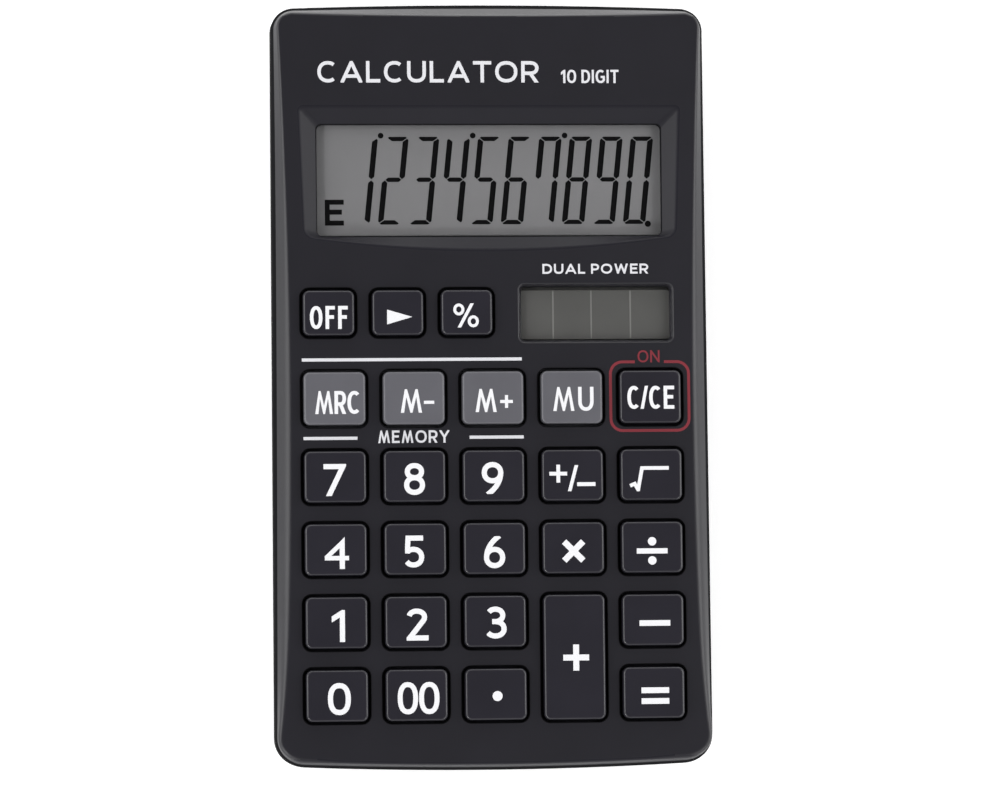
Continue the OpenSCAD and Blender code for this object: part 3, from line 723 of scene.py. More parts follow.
def make_front_cover():
    b = Build()
    face_loops, under_loops = [], []
    add_key_openings(b, face_loops, under_loops)
    add_surround(b, face_loops, under_loops)
    add_solar_recess(b, face_loops, under_loops)
    edge, shoulder, outline = panel_ring(0), shoulder_ring(), outline_ring(0)
    insets, shares = zip(SOFT_EDGE_DISPLAY, SOFT_EDGE_KEYPAD)
    start = by_length(*(panel_ring(inset) for inset in insets))
    bevel = [lift(edge, FACE_Z), lift(shoulder, BEVEL_LOW)]
    turned = by_length(*(mix_loops(*bevel, share) for share in shares))
    face_edge = fillet(lift(start, FACE_Z), bevel[0], turned, 8)
    b.loft(face_edge + [mix_loops(turned, bevel[1], t) for t in (0.4, 0.8)], flip=True)
    low_bevel = mix_loops(turned, bevel[1], 0.8)
    # Faces of the display end facet take the lighter copy, a painted highlight; faces of the keypad
    # end facet take the surround's less reflecting copy, painted shade.
    for i, face in enumerate(b.faces):
        ys = [b.verts[j][1] for j in face]
        if b.slots[i] == 0 and min(ys) > HALF_LENGTH - END_FACET:
            b.slots[i] = HIGHLIGHT_END_SLOT
        elif b.slots[i] == 0 and max(ys) < END_FACET - HALF_LENGTH:
            b.slots[i] = SHADED_SURROUND_SLOT
    turned = mix_loops(bevel[1], lift(outline, EDGE_LOW), 0.6)
    outer_edge = fillet(low_bevel, bevel[1], turned, 6)
    # The outer edge and walls take the unreflecting copy: painted shade along the outline.
    b.loft(outer_edge, slot=SHADED_WALL_SLOT, flip=True)
    rabbet, cavity = outline_ring(1.5), outline_ring(CAVITY_INSET)
    b.loft([
        turned, lift(outline, EDGE_LOW), lift(outline, SEAM_Z + 0.15),
        lift(outline_ring(0.12), SEAM_Z),
        lift(rabbet, SEAM_Z), lift(rabbet, SEAM_Z + 1.2),
        lift(cavity, SEAM_Z + 1.2), lift(cavity, FACE_UNDER),
    ], slot=SHADED_WALL_SLOT, flip=True)
    b.plate(start, face_loops, FACE_Z)
    b.plate(cavity, under_loops, FACE_UNDER, up=False)
    add_posts(b)
    cover = b.make("front_shell", [CASE_BLACK, WALL_PAINTED_SHADE, SURROUND_PAINTED_SHADE, END_PAINTED_HIGHLIGHT])
    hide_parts("front_cover")
    return cover


make_front_cover()


# ---- flat print: strokes, glyphs and words


def oval(cx, cy, rx, ry, a0=0, a1=360, n=28, power=2.25):
    """Points on a squarish ellipse. A full turn leaves out the repeated last point."""
    points = []
    full = abs(a1 - a0) == 360
    for i in range(n if full else n + 1):
        t = math.radians(a0 + (a1 - a0) * i / n)
        c, s = math.cos(t), math.sin(t)
        points.append((
            cx + rx * math.copysign(abs(c) ** (2 / power), c),
            cy + ry * math.copysign(abs(s) ** (2 / power), s),
        ))
    return points


def curve(p0, p1, p2):
    """Ten steps from p0 to p2, bent towards p1."""
    return [
        tuple((1 - t) ** 2 * a + 2 * t * (1 - t) * b + t * t * c for a, b, c in zip(p0, p1, p2))
        for t in [i / 10 for i in range(11)]
    ]


def ribbon(points, width, closed=False):
    """Quads along a line of points, with mitred joins."""
    n = len(points)
    half = width / 2
    left, right = [], []
    for i, (x, y) in enumerate(points):
        before = points[i - 1] if i or closed else None
        after = points[(i + 1) % n] if i < n - 1 or closed else None
        d0 = unit(x - before[0], y - before[1]) if before else None
        d1 = unit(after[0] - x, after[1] - y) if after else None
        d0, d1 = d0 or d1, d1 or d0
        nx, ny = unit(-d0[1] - d1[1], d0[0] + d1[0])
        reach = half / max(0.28, nx * -d1[1] + ny * d1[0])
        left.append((x + nx * reach, y + ny * reach))
        right.append((x - nx * reach, y - ny * reach))
    last = n if closed else n - 1
    return [
        [left[i], left[(i + 1) % n], right[(i + 1) % n], right[i]] for i in range(last)
    ]


def in_convex(x, y, polygon):
    signs = [
        (b[0] - a[0]) * (y - a[1]) - (b[1] - a[1]) * (x - a[0])
        for a, b in zip(polygon, polygon[1:] + polygon[:1])
    ]
    return all(s >= 0 for s in signs) or all(s <= 0 for s in signs)


class Print:
    """A thin printed layer of convex patches, cut by their boxes and joined without overlaps."""

    def __init__(self):
        self.groups = []

    def add(self, patches, x=0.0, y=0.0, box=None):
        moved = [[(px + x, py + y) for px, py in p] for p in patches]
        self.groups.append((moved, box and (box[0] + x, box[1] + y, box[2] + x, box[3] + y)))

    def build(self, name, material, slot, z, thickness, body="case"):
        b = Build()
        for patches, box in self.groups:
            add_layer(b, patches, box, z, thickness)
        obj = b.make(name, [material], body, sharp=30, weld=0.0002)
        return obj


NO_AREA = 1e-7


def add_layer(b, patches, box, z, thickness):
    """Top of the patches inside their box, and walls down from its open edges."""
    outlines = list(patches)
    if box:
        outlines.append([(box[0], box[1]), (box[2], box[1]), (box[2], box[3]), (box[0], box[3])])
    verts, faces = cut_plane(outlines)
    base = len(b.verts)
    b.verts += [(v.x, v.y, z + thickness) for v in verts]
    low = len(b.verts)
    b.verts += [(v.x, v.y, z) for v in verts]
    open_edges = {}
    for f, x, y, area in faces:
        if box and not (box[0] < x < box[2] and box[1] < y < box[3]):
            continue
        if abs(area) < NO_AREA or not any(in_convex(x, y, p) for p in patches):
            continue
        f = f if area > 0 else f[::-1]
        b.face([base + i for i in f])
        for i, j in zip(f, f[1:] + f[:1]):
            if (j, i) in open_edges:
                del open_edges[(j, i)]
            else:
                open_edges[(i, j)] = True
    for i, j in open_edges:
        b.face((base + j, base + i, low + i, low + j))


def disc(cx, cy, r, n=28):
    return [arc(cx, cy, r, 0, 360 - 360 / n, n - 1)]


def glyph(char, w, h, s):
    """Convex patches of a character that fills the box from 0, 0 to w, h, drawn with stroke s."""
    a = s / 2
    left, right, low, top, cx = a, w - a, a, h - a, w / 2
    out = 2 * s
    waist = 0.54 * h

    def line(*points):
        return ribbon(list(points), s)

    def ring(x, y, rx, ry, power=2.25):
        return ribbon(oval(x, y, rx, ry, power=power), s, closed=True)

    def six():
        ry = 0.335 * h - a
        spur = curve((0.74 * w, h + 0.1 * s), (left + 0.02 * w, 0.74 * h), (left, 0.34 * h))
        return ring(cx, 0.335 * h, cx - a, ry, 2.1) + ribbon(spur, s)

    def bowl_top():
        mid = 0.43 * h
        ry = (top - mid) / 2
        bowl = oval(0.5 * w, mid + ry, 0.5 * w - a, ry, 84, -84, 14)
        bowl = [(0, top), (0.5 * w, top)] + bowl + [(0.5 * w, mid), (0, mid)]
        return line((left, -out), (left, h + out)) + ribbon(bowl, s)

    if char in "0O":
        return ring(cx, h / 2, cx - a, h / 2 - a, 2.35 if char == "0" else 2.2)
    if char == "1":
        return line((-0.1 * w, 0.68 * h), (right, 0.915 * h), (right, -out))
    if char == "2":
        bowl = oval(0.47 * w, 0.73 * h, 0.47 * w - a, 0.27 * h - a, 168, -32, 16, 2.1)
        return ribbon(bowl + [(0.42 * w, 0.32 * h), (a * 1.15, low), (w + out, low)], s)
    if char == "3":
        mid = 0.53 * h
        upper = oval(0.44 * w, (top + mid) / 2, 0.5 * w - a, (top - mid) / 2, 148, -86, 16, 2.1)
        lower = oval(0.44 * w, (mid + low) / 2, 0.56 * w - a, (mid - low) / 2, 86, -148, 18, 2.1)
        return ribbon(upper, s) + ribbon(lower, s) + line((0.28 * w, mid), (0.5 * w, mid))
    if char == "4":
        inner, outer, bar = 0.72 * w - a, 0.72 * w + a, 0.41 * h
        stem = [(inner, 0), (outer, 0), (outer, h), (inner, 0.84 * h)]
        slope = [(0.01 * w, bar), (0.27 * w, bar), (inner, 0.65 * h), (inner, 0.84 * h)]
        return [stem, slope, [(0, 0.27 * h), (w, 0.27 * h), (w, bar), (0, bar)]]
    if char == "5":
        bowl = oval(0.44 * w, 0.325 * h, 0.56 * w - a, 0.325 * h - a, 138, -146, 20, 2.1)
        stem = [(0.95 * w, top), (left + 0.03 * w, top), (left - 0.02 * w, 0.44 * h)]
        return ribbon(stem, s) + ribbon(bowl, s)
    if char == "6":
        return six()
    if char == "9":
        return [[(w - x, h - y) for x, y in p] for p in six()]
    if char == "7":
        return line((-out, top), (w - 0.62 * s, top), (0.16 * w, -0.6 * s))
    if char == "8":
        ru, rl = (top - waist) / 2, (waist - low) / 2
        return ring(cx, waist + ru, 0.46 * w - a, ru, 2.1) + ring(cx, low + rl, cx - a, rl, 2.1)
    if char == "M":
        return line(
            (0.04 * w, -out), (0.26 * w, h - 0.35 * s), (0.5 * w, 0.55 * s),
            (0.74 * w, h - 0.35 * s), (0.96 * w, -out),
        )
    if char == "N":
        return line((left, -out), (left, h - 0.4 * s), (right, 0.4 * s), (right, h + out))
    if char == "W":
        return line(
            (0.02 * w, h + out), (0.27 * w, 0.35 * s), (0.5 * w, h - 0.6 * s),
            (0.73 * w, 0.35 * s), (0.98 * w, h + out),
        )
    if char == "R":
        return bowl_top() + line((0.5 * w, 0.45 * h), (w - 0.4 * s, -0.3 * s))
    if char == "P":
        return bowl_top()
    if char == "D":
        side = oval(0.4 * w, h / 2, 0.6 * w - a, h / 2 - a, 84, -84, 14)
        side = [(0, top), (0.4 * w, top)] + side + [(0.4 * w, low), (0, low)]
        return line((left, -out), (left, h + out)) + ribbon(side, s)
    if char in "CG":
        bowl = oval(cx + 0.04 * w, h / 2, cx - a + 0.04 * w, h / 2 - a, 50, 310, 26, 2.2)
        hook = line((0.55 * w, 0.46 * h), (w, 0.46 * h)) + line((right, 0.5 * h), (right, 0.15 * h))
        return ribbon(bowl, s) + (hook if char == "G" else [])
    if char == "U":
        turn = oval(cx, 0.42 * h, cx - a, 0.42 * h - a, 180, 360, 16, 2.3)
        return ribbon([(left, h + out)] + turn[:-1] + [turn[-1], (right, h + out)], s)
    if char in "EF":
        bars = line((0, top), (w, top)) + line((0, 0.52 * h), (0.9 * w, 0.52 * h))
        foot = line((0, low), (w, low)) if char == "E" else []
        return line((left, -out), (left, h + out)) + bars + foot
    if char == "L":
        return line((left, h + out), (left, low), (w + out, low))
    if char == "I":
        return line((cx, -out), (cx, h + out))
    if char == "T":
        return line((-out, top), (w + out, top)) + line((cx, -out), (cx, top))
    if char == "A":
        legs = line((0.03 * w, -0.4 * s), (cx, h - 0.35 * s), (0.97 * w, -0.4 * s))
        return legs + line((0.2 * w, 0.3 * h), (0.8 * w, 0.3 * h))
    if char == "Y":
        arms = line((0.03 * w, h + 0.3 * s), (cx, 0.45 * h), (0.97 * w, h + 0.3 * s))
        return arms + line((cx, -out), (cx, 0.48 * h))
    if char == "/":
        return line((a * 0.9, -0.4 * s), (w - a * 0.9, h + 0.4 * s))
    raise ValueError(char)


# Width of each letter as a share of its height
LETTER_SHARE = {
    "I": 0.16, "M": 1.0, "W": 1.2, "O": 0.95, "C": 0.82, "G": 0.88, "D": 0.82, "N": 0.82,
    "A": 0.92, "E": 0.64, "L": 0.6, "P": 0.68, "R": 0.74, "T": 0.78, "U": 0.8, "Y": 0.84,
    "0": 0.86, "1": 0.42,
}


# ---- keys

KEY_TOP = FACE_Z + 1.0
KEY_LOW = box_mm("key_7")[0][2]
FLANGE_TOP = KEY_LOW + 0.7
KEY_WALL = 1.0
KEY_SOFT, KEY_EDGE, KEY_SOFT_DROP = 0.48, 0.06, 0.4
KEY_RIM_STEPS, KEY_RIM_TURN = 8, 5
PLUNGER_RADIUS = 1.5
INK = 0.018
LEGEND_STROKE = 0.57
DIGIT_STROKE = 0.82
DIGIT_HEIGHT = 5.08
SLASH_STROKE = 0.5
# Each digit key has its digit, the offset from the key's middle and the width.
DIGIT_KEYS = {
    "key_7": ("7", -0.09, -0.5, 3.6),
    "key_8": ("8", -0.05, -0.43, 3.35),
    "key_9": ("9", -0.22, -0.36, 3.45),
    "key_4": ("4", 0.12, -0.51, 3.85),
    "key_5": ("5", -0.15, -0.38, 3.05),
    "key_6": ("6", -0.03, -0.6, 3.4),
    "key_1": ("1", 0.25, -0.51, 2.1),
    "key_2": ("2", 0.19, -0.39, 3.5),
    "key_3": ("3", 0.17, -0.2, 3.2),
    "key_0": ("0", 0.3, -0.48, 3.65),
}
# Each letter key has its letters' offset up and height, then each one's offset and width.
LETTER_KEYS = {
    "key_mrc": (-0.64, 3.66, [("M", -1.7, 2.85), ("R", 0.88, 1.85), ("C", 3.04, 2.05)]),
    "key_m_minus": (-0.47, 3.75, [("M", -0.43, 3.5)]),
    "key_m_plus": (-0.46, 3.7, [("M", -1.13, 3.5)]),
    "key_mu": (-0.29, 3.84, [("M", -1.31, 3.5), ("U", 2.24, 2.48)]),
    "key_clear": (-0.11, 3.68, [
        ("C", -2.75, 1.95), ("/", -1.0, 1.25), ("C", 0.75, 1.95), ("E", 2.97, 1.7),
    ]),
    "key_off": (-0.74, 3.67, [("O", -2.02, 2.0), ("F", 0.22, 1.5), ("F", 2.25, 1.55)]),
}
# Each mark has its kind and its offset from the key's middle. A bar and a cross go on with
# size and stroke, a dot with its radius, and a character with width, height and stroke.
KEY_MARKS = {
    "key_m_minus": [("bar", 2.4, -0.7, 1.65, 0.5)],
    "key_m_plus": [("cross", 2.15, -0.64, 2.05, 0.5)],
    "key_00": [("0", -1.45, -0.47, 3.25, 5.1, 0.78), ("0", 1.95, -0.47, 3.25, 5.1, 0.78)],
    "key_point": [("dot", 0.2, -0.29, 0.8)],
    "key_plus": [("cross", 0.2, -0.1, 4.15, 0.95)],
    "key_minus": [("bar", 0.25, -0.52, 4.95, 0.9)],
    "key_equals": [("bar", 0.18, 0.36, 4.45, 0.92), ("bar", 0.18, -1.36, 4.45, 0.92)],
    "key_divide": [
        ("bar", -0.04, -0.61, 4.95, 0.84), ("dot", -0.04, 0.92, 0.68), ("dot", -0.04, -2.13, 0.68),
    ],
    "key_sign": [
        ("cross", -2.33, 0.25, 2.85, 0.6), ("/", 0.03, -0.48, 1.75, 4.15, 0.55),
        ("bar", 2.15, -1.45, 2.95, 0.62),
    ],
}


def key_legend(node, x, y):
    """Printed legend of a key whose middle is x, y."""
    p = Print()

    def put(char, dx, dy, w, h, s):
        p.add(glyph(char, w, h, s), x + dx - w / 2, y + dy - h / 2, (0, 0, w, h))

    def mark(kind, dx, dy, size, s=0.0):
        if kind == "dot":
            patches = disc(0, 0, size)
        else:
            patches = ribbon([(-size / 2, 0), (size / 2, 0)], s)
        if kind == "cross":
            patches = patches + ribbon([(0, -size / 2), (0, size / 2)], s)
        p.add(patches, x + dx, y + dy)

    if node in DIGIT_KEYS:
        char, dx, dy, w = DIGIT_KEYS[node]
        put(char, dx, dy, w, DIGIT_HEIGHT, DIGIT_STROKE)
    if node in LETTER_KEYS:
        dy, h, letters = LETTER_KEYS[node]
        for char, dx, w in letters:
            put(char, dx, dy, w, h, SLASH_STROKE if char == "/" else LEGEND_STROKE)
    for kind, *values in KEY_MARKS.get(node, ()):
        if kind in ("bar", "cross", "dot"):
            mark(kind, *values)
        else:
            put(kind, *values)
    if node == "key_times":
        reach = 1.52
        arms = [ribbon([(-reach, -reach * t), (reach, reach * t)], 0.98) for t in (1, -1)]
        p.add(arms[0] + arms[1], x, y - 0.52)
    elif node == "key_root":
        w, h = 6.25, 4.0
        hook = [(0, 0.22 * h), (0.12 * w, 0.3 * h), (0.205 * w, 0.06 * h)]
        roof = [(0.31 * w, h - 0.3), (w, h - 0.3)]
        p.add(ribbon(hook + roof, 0.58), x - 0.33 - w / 2, y - 0.65 - h / 2, (-0.2, 0, w, h))
    elif node == "key_back":
        p.add([[(-1.92, -1.18), (2.1, 0), (-1.92, 1.18)]], x + 0.18, y - 0.7)
    elif node == "key_percent":
        for side in (1, -1):
            loop = oval(-1.15 * side, 0.95 * side, 0.66, 0.72, power=2)
            p.add(ribbon(loop, 0.46, closed=True), x - 0.15, y - 0.5)
        put("/", -0.2, -0.5, 2.75, 3.84, SLASH_STROKE)
    return p


def make_key(node):
    x, y, w, h = key_size(node)
    grey = node in GREY_KEYS
    material, slot = (KEY_GREY, "key_grey") if grey else (KEY_BLACK, "key_black")
    # side is the darker copy for the lower rim, walls, flange and inside: painted shade in the gap
    # round the key.
    side = GREY_SHADED_SIDE if grey else KEY_SHADED_SIDE

    def ring(inset):
        return rounded(x, y, w - 2 * inset, h - 2 * inset, KEY_CORNER - inset * 0.6, 9)

    b = Build()
    rim = fillet(
        lift(ring(KEY_SOFT), KEY_TOP), lift(ring(KEY_EDGE), KEY_TOP),
        lift(ring(0), KEY_TOP - KEY_SOFT_DROP), KEY_RIM_STEPS,
    )
    b.plate(ring(KEY_SOFT), [], KEY_TOP)
    b.loft(rim[:KEY_RIM_TURN + 1], flip=True)
    b.loft(
        rim[KEY_RIM_TURN:] + [
            lift(ring(0), FLANGE_TOP), lift(ring(-KEY_FLANGE), FLANGE_TOP),
            lift(ring(-KEY_FLANGE), KEY_LOW), lift(ring(0.9), KEY_LOW),
            lift(ring(1.0), KEY_TOP - KEY_WALL),
        ],
        slot=SHADED_WALL_SLOT, flip=True, cap_end=True,
    )
    key = b.make(node + "_cap", [material, side], node, sharp=40)
    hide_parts(node)
    plunger = Build()
    post = circle(x, y, PLUNGER_RADIUS)
    plunger.loft([lift(post, KEY_TOP - KEY_WALL), lift(post, KEY_LOW)], flip=True, cap_end=True)
    plunger.make(node + "_plunger", [material], node, sharp=40)
    key_legend(node, x, y).build(node + "_legend", WHITE_INK, "print_white", KEY_TOP, INK, node)


for key_node in KEY_NODES:
    make_key(key_node)


# ---- print on the face

SPACE_SHARE = 0.34
GAP_SHARE = 0.16
# Text, left end, right end, foot, height and stroke.
FACE_WORDS = [
    ("CALCULATOR", -27.5, 8.0, 48.5, 3.45, 0.56),
    ("10 DIGIT", 11.6, 20.9, 48.4, 2.15, 0.36),
    ("DUAL POWER", 8.25, 25.3, 17.76, 1.6, 0.31),
    ("MEMORY", -18.35, -6.95, -9.14, 2.0, 0.34),
]
RED_WORD = ("ON", 23.4, 26.95, 3.5, 1.95, 0.28)
# Left end, right end and height of each line.
FACE_LINES = [(-30.4, 4.78, 4.16), (-30.24, -21.64, -8.34), (-3.72, 4.94, -8.3)]
LINE_STROKE = 0.5
RED_FRAME_MIDDLE, RED_FRAME_SIZE = (25.29, -1.9), (12.6, 11.0)
RED_FRAME_RADIUS, RED_FRAME_GAP, RED_FRAME_STROKE = 1.9, 2.35, 0.45


def fitted(p, text, x0, x1, y, h, stroke):
    """Text spread from x0 to x1 by stretching its letters and its gaps alike."""
    letters = [c for c in text if c != " "]
    fixed = sum(LETTER_SHARE[c] * h for c in letters if c == "I")
    loose = sum(LETTER_SHARE[c] * h for c in letters if c != "I")
    loose += GAP_SHARE * h * (len(letters) - 1) + SPACE_SHARE * h * text.count(" ")
    stretch = (x1 - x0 - fixed) / loose
    x = x0
    for char in text:
        if char == " ":
            x += SPACE_SHARE * h * stretch
            continue
        w = LETTER_SHARE[char] * h * (1 if char == "I" else stretch)
        p.add(glyph(char, w, h, stroke), x, y, (0, 0, w, h))
        x += w + GAP_SHARE * h * stretch


def make_face_print():
    white = Print()
    for words in FACE_WORDS:
        fitted(white, *words)
    for x0, x1, y in FACE_LINES:
        white.add(ribbon([(x0, y), (x1, y)], LINE_STROKE))
    white.build("face_print", FACE_INK, "print_white", FACE_Z, INK)
    red = Print()
    r, gap = RED_FRAME_RADIUS, RED_FRAME_GAP
    x, y = (side / 2 for side in RED_FRAME_SIZE)
    loop = [(gap, y)] + arc(x - r, y - r, r, 90, 0, 8) + arc(x - r, r - y, r, 0, -90, 8)
    loop += arc(r - x, r - y, r, -90, -180, 8) + arc(r - x, y - r, r, 180, 90, 8) + [(-gap, y)]
    red.add(ribbon(loop, RED_FRAME_STROKE), *RED_FRAME_MIDDLE)
    fitted(red, *RED_WORD)
    red.build("face_print_red", RED_INK, "print_red", FACE_Z, INK)


make_face_print()


# ---- display

LCD_FACE = plastic("display film", (0.193, 0.192, 0.197), 0.55, 0.5, 0.001, 0.03)
LCD_INK = ink("display ink", (0.0012, 0.0012, 0.0015), 0.1)
WINDOW_CLEAR = clear("clear window", (0.98, 0.98, 0.98), 0.02, 0.04)
SEGMENTS = {
    "0": "abcdef", "1": "bc", "2": "abged", "3": "abgcd", "4": "fgbc", "5": "afgcd",
    "6": "afgedc", "7": "fabc", "8": "abcdefg", "9": "abcdfg",
}
LCD_DIGIT_HEIGHT, LCD_DIGIT_WIDTH = 14.1, 3.65
LCD_UPRIGHT, LCD_LEVEL = 0.9, 0.7
LCD_SLANT = math.tan(math.radians(6.0))
LCD_PITCH, LCD_LEFT, LCD_LOW = 4.935, -22.79, 25.98
LCD_DOTS = [(-17.25, 40.27, 0.46), (-2.43, 40.27, 0.46), (12.4, 40.27, 0.46), (25.7, 26.0, 0.5)]
LCD_MARK_PLACE, LCD_MARK_SIZE, LCD_MARK_STROKE = (-26.32, 25.84), (3.05, 4.15), 0.8
PRINT_THICKNESS = 0.01


def lcd_segments(char):
    """Convex patches of a seven-segment digit, before it is slanted."""
    w, h, gap = LCD_DIGIT_WIDTH, LCD_DIGIT_HEIGHT, 0.09
    wide, tall = LCD_UPRIGHT, LCD_LEVEL
    mid = 0.51 * h
    patches = []
    for name in SEGMENTS[char]:
        if name == "g":
            x, low, high = wide / 2 + gap, mid - tall / 2, mid + tall / 2
            patches.append([
                (x, mid), (x + 0.4, low), (w - x - 0.4, low),
                (w - x, mid), (w - x - 0.4, high), (x + 0.4, high),
            ])
        elif name in "ad":
            d = 1 if name == "a" else -1
            edge = h if name == "a" else 0.0
            inner, chamfer = edge - d * tall, edge - d * 0.18
            patches.append([
                (gap + 0.42, edge), (w - gap - 0.42, edge), (w - gap - 0.18, chamfer),
                (w - wide - gap, inner), (wide + gap, inner), (gap + 0.18, chamfer),
            ])
        else:
            d, far = (1, h) if name in "bf" else (-1, 0.0)
            side = (lambda v: w - v) if name in "bc" else (lambda v: v)
            patches.append([
                (side(0), mid + d * (gap + 0.4)), (side(wide / 2), mid + d * gap),
                (side(wide), mid + d * (gap + 0.4)), (side(wide), far - d * (tall + gap)),
                (side(0.22), far - d * (0.22 + gap)), (side(0), far - d * (0.45 + gap)),
            ])
    return patches


def make_display():
    film_low, film_high = box_mm("display_polariser")
    middle = (film_low[0] + film_high[0]) / 2
    ink_layer = Print()
    for place, char in enumerate("1234567890"):
        slanted = [[(px + LCD_SLANT * py, py) for px, py in p] for p in lcd_segments(char)]
        ink_layer.add(slanted, LCD_LEFT + LCD_PITCH * place, LCD_LOW)
    for x, y, r in LCD_DOTS:
        ink_layer.add(disc(x, y, r, 20))
    mark = glyph("E", *LCD_MARK_SIZE, LCD_MARK_STROKE)
    ink_layer.add(mark, *LCD_MARK_PLACE, (0, 0, *LCD_MARK_SIZE))
    ink_layer.build("display_digits", LCD_INK, "display_ink", film_high[2], PRINT_THICKNESS)
    paint("display_polariser", LCD_FACE)
    b = Build()
    edge = rounded(middle, VIEW_Y, VIEW_WIDTH + 2.2, VIEW_HEIGHT + 2.2, 0.4, 3)
    soft = rounded(middle, VIEW_Y, VIEW_WIDTH + 2.0, VIEW_HEIGHT + 2.0, 0.3, 3)
    b.plate(soft, [], LENS_TOP)
    b.loft([
        lift(soft, LENS_TOP), lift(edge, LENS_TOP - 0.1),
        lift(edge, LENS_UNDER + 0.1), lift(soft, LENS_UNDER),
    ], flip=True, cap_end=True)
    window = b.make("display_lens", [WINDOW_CLEAR])
    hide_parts("display_window")


def paint(node, material):
    """Gives a CAD node its material."""
    obj = frame["nodes"][node]
    obj.data.materials.clear()
    obj.data.materials.append(material)


make_display()


# ---- solar window

CELL_TOP = SOLAR_LENS_TOP - 0.6
CELL_PLACE = (16.84, 11.31, 24.0, 7.9)
SOLAR_FILM = plastic("solar film", (0.098, 0.097, 0.093), 0.4, 2.5, 0.001, 0.08)
SOLAR_LINE = ink("solar cell joint", (0.2, 0.2, 0.19))
JOINT_XS, JOINT_WIDTH, JOINT_END = (10.04, 16.18, 22.5), 0.22, 0.1


def make_solar():
    w, h = SOLAR_WIDTH - 0.9, SOLAR_HEIGHT - 0.9
    flange_top, flange_low = FACE_UNDER - 0.05, box_mm("solar_window")[0][2]
    pocket = rounded(SOLAR_X, SOLAR_Y, w - 0.1, h - 0.1, 0.5)
    b = Build()
    soft = rounded(SOLAR_X, SOLAR_Y, w - 0.3, h - 0.3, 0.4)
    edge = rounded(SOLAR_X, SOLAR_Y, w, h, 0.55)
    flange = rounded(SOLAR_X, SOLAR_Y, w + 1.6, h + 1.6, 0.9)
    b.plate(soft, [], SOLAR_LENS_TOP)
    b.loft([
        lift(soft, SOLAR_LENS_TOP), lift(edge, SOLAR_LENS_TOP - 0.15), lift(edge, flange_top),
        lift(flange, flange_top), lift(flange, flange_low),
        lift(pocket, flange_low), lift(pocket, CELL_TOP + 0.05),
    ], flip=True, cap_end=True)
    lens = b.make("solar_lens", [WINDOW_CLEAR])
    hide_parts("solar_window")
    film_low = box_mm("solar_cell")[1][2]
    film = Build()
    x, y, w, h = CELL_PLACE
    soft, edge = rounded(x, y, w - 0.1, h - 0.1, 0.35), rounded(x, y, w, h, 0.4)
    film.plate(soft, [], CELL_TOP)
    film.loft([
        lift(soft, CELL_TOP), lift(edge, CELL_TOP - 0.06), lift(edge, film_low),
    ], flip=True, cap_end=True)
    film.make("solar_cell_face", [SOLAR_FILM])
    lines = Print()
    reach = h / 2 - JOINT_END
    for line_x in JOINT_XS:
        lines.add(ribbon([(line_x, y - reach), (line_x, y + reach)], JOINT_WIDTH))
    lines.build("solar_cell_joints", SOLAR_LINE, "solar_film", CELL_TOP, PRINT_THICKNESS)


make_solar()


# ---- domes, pills and the pieces inside

SILICONE = rubber("silicone", (0.42, 0.43, 0.42), 0.5)
CARBON = rubber("carbon pill", (0.012, 0.012, 0.012), 0.8)


def make_domes():
    low, high = box_mm("key_domes")
    base, top = low[2], high[2]
    pill_low, pill_high = (box[2] for box in box_mm("contact_pills"))
    for node in KEY_NODES:
        x, y, _, _ = key_size(node)
        b = Build()
        foot, skirt, crown, flat = (circle(x, y, r) for r in (3.3, 2.6, 1.9, 1.5))
        inner, roof = (circle(x, y, r) for r in (2.6, 1.45))
        b.loft(
            fillet(lift(flat, top), lift(crown, top), lift(skirt, base + 0.65), 5)
            + [lift(foot, base), lift(inner, base), lift(roof, pill_high)],
            flip=True, cap_start=True, cap_end=True,
        )
        dome = b.make("dome_" + node, [SILICONE], "case", sharp=50)
        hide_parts("key_domes")
        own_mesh(dome)
        p = Build()
        disc_edge, disc_soft = (circle(x, y, r) for r in (1.3, 1.15))
        p.loft([
            lift(disc_soft, pill_high), lift(disc_edge, pill_high - 0.12),
            lift(disc_edge, pill_low + 0.12), lift(disc_soft, pill_low),
        ], flip=True, cap_start=True, cap_end=True)
        pill = p.make("pill_" + node, [CARBON], node, sharp=50)
        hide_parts("contact_pills")


make_domes()

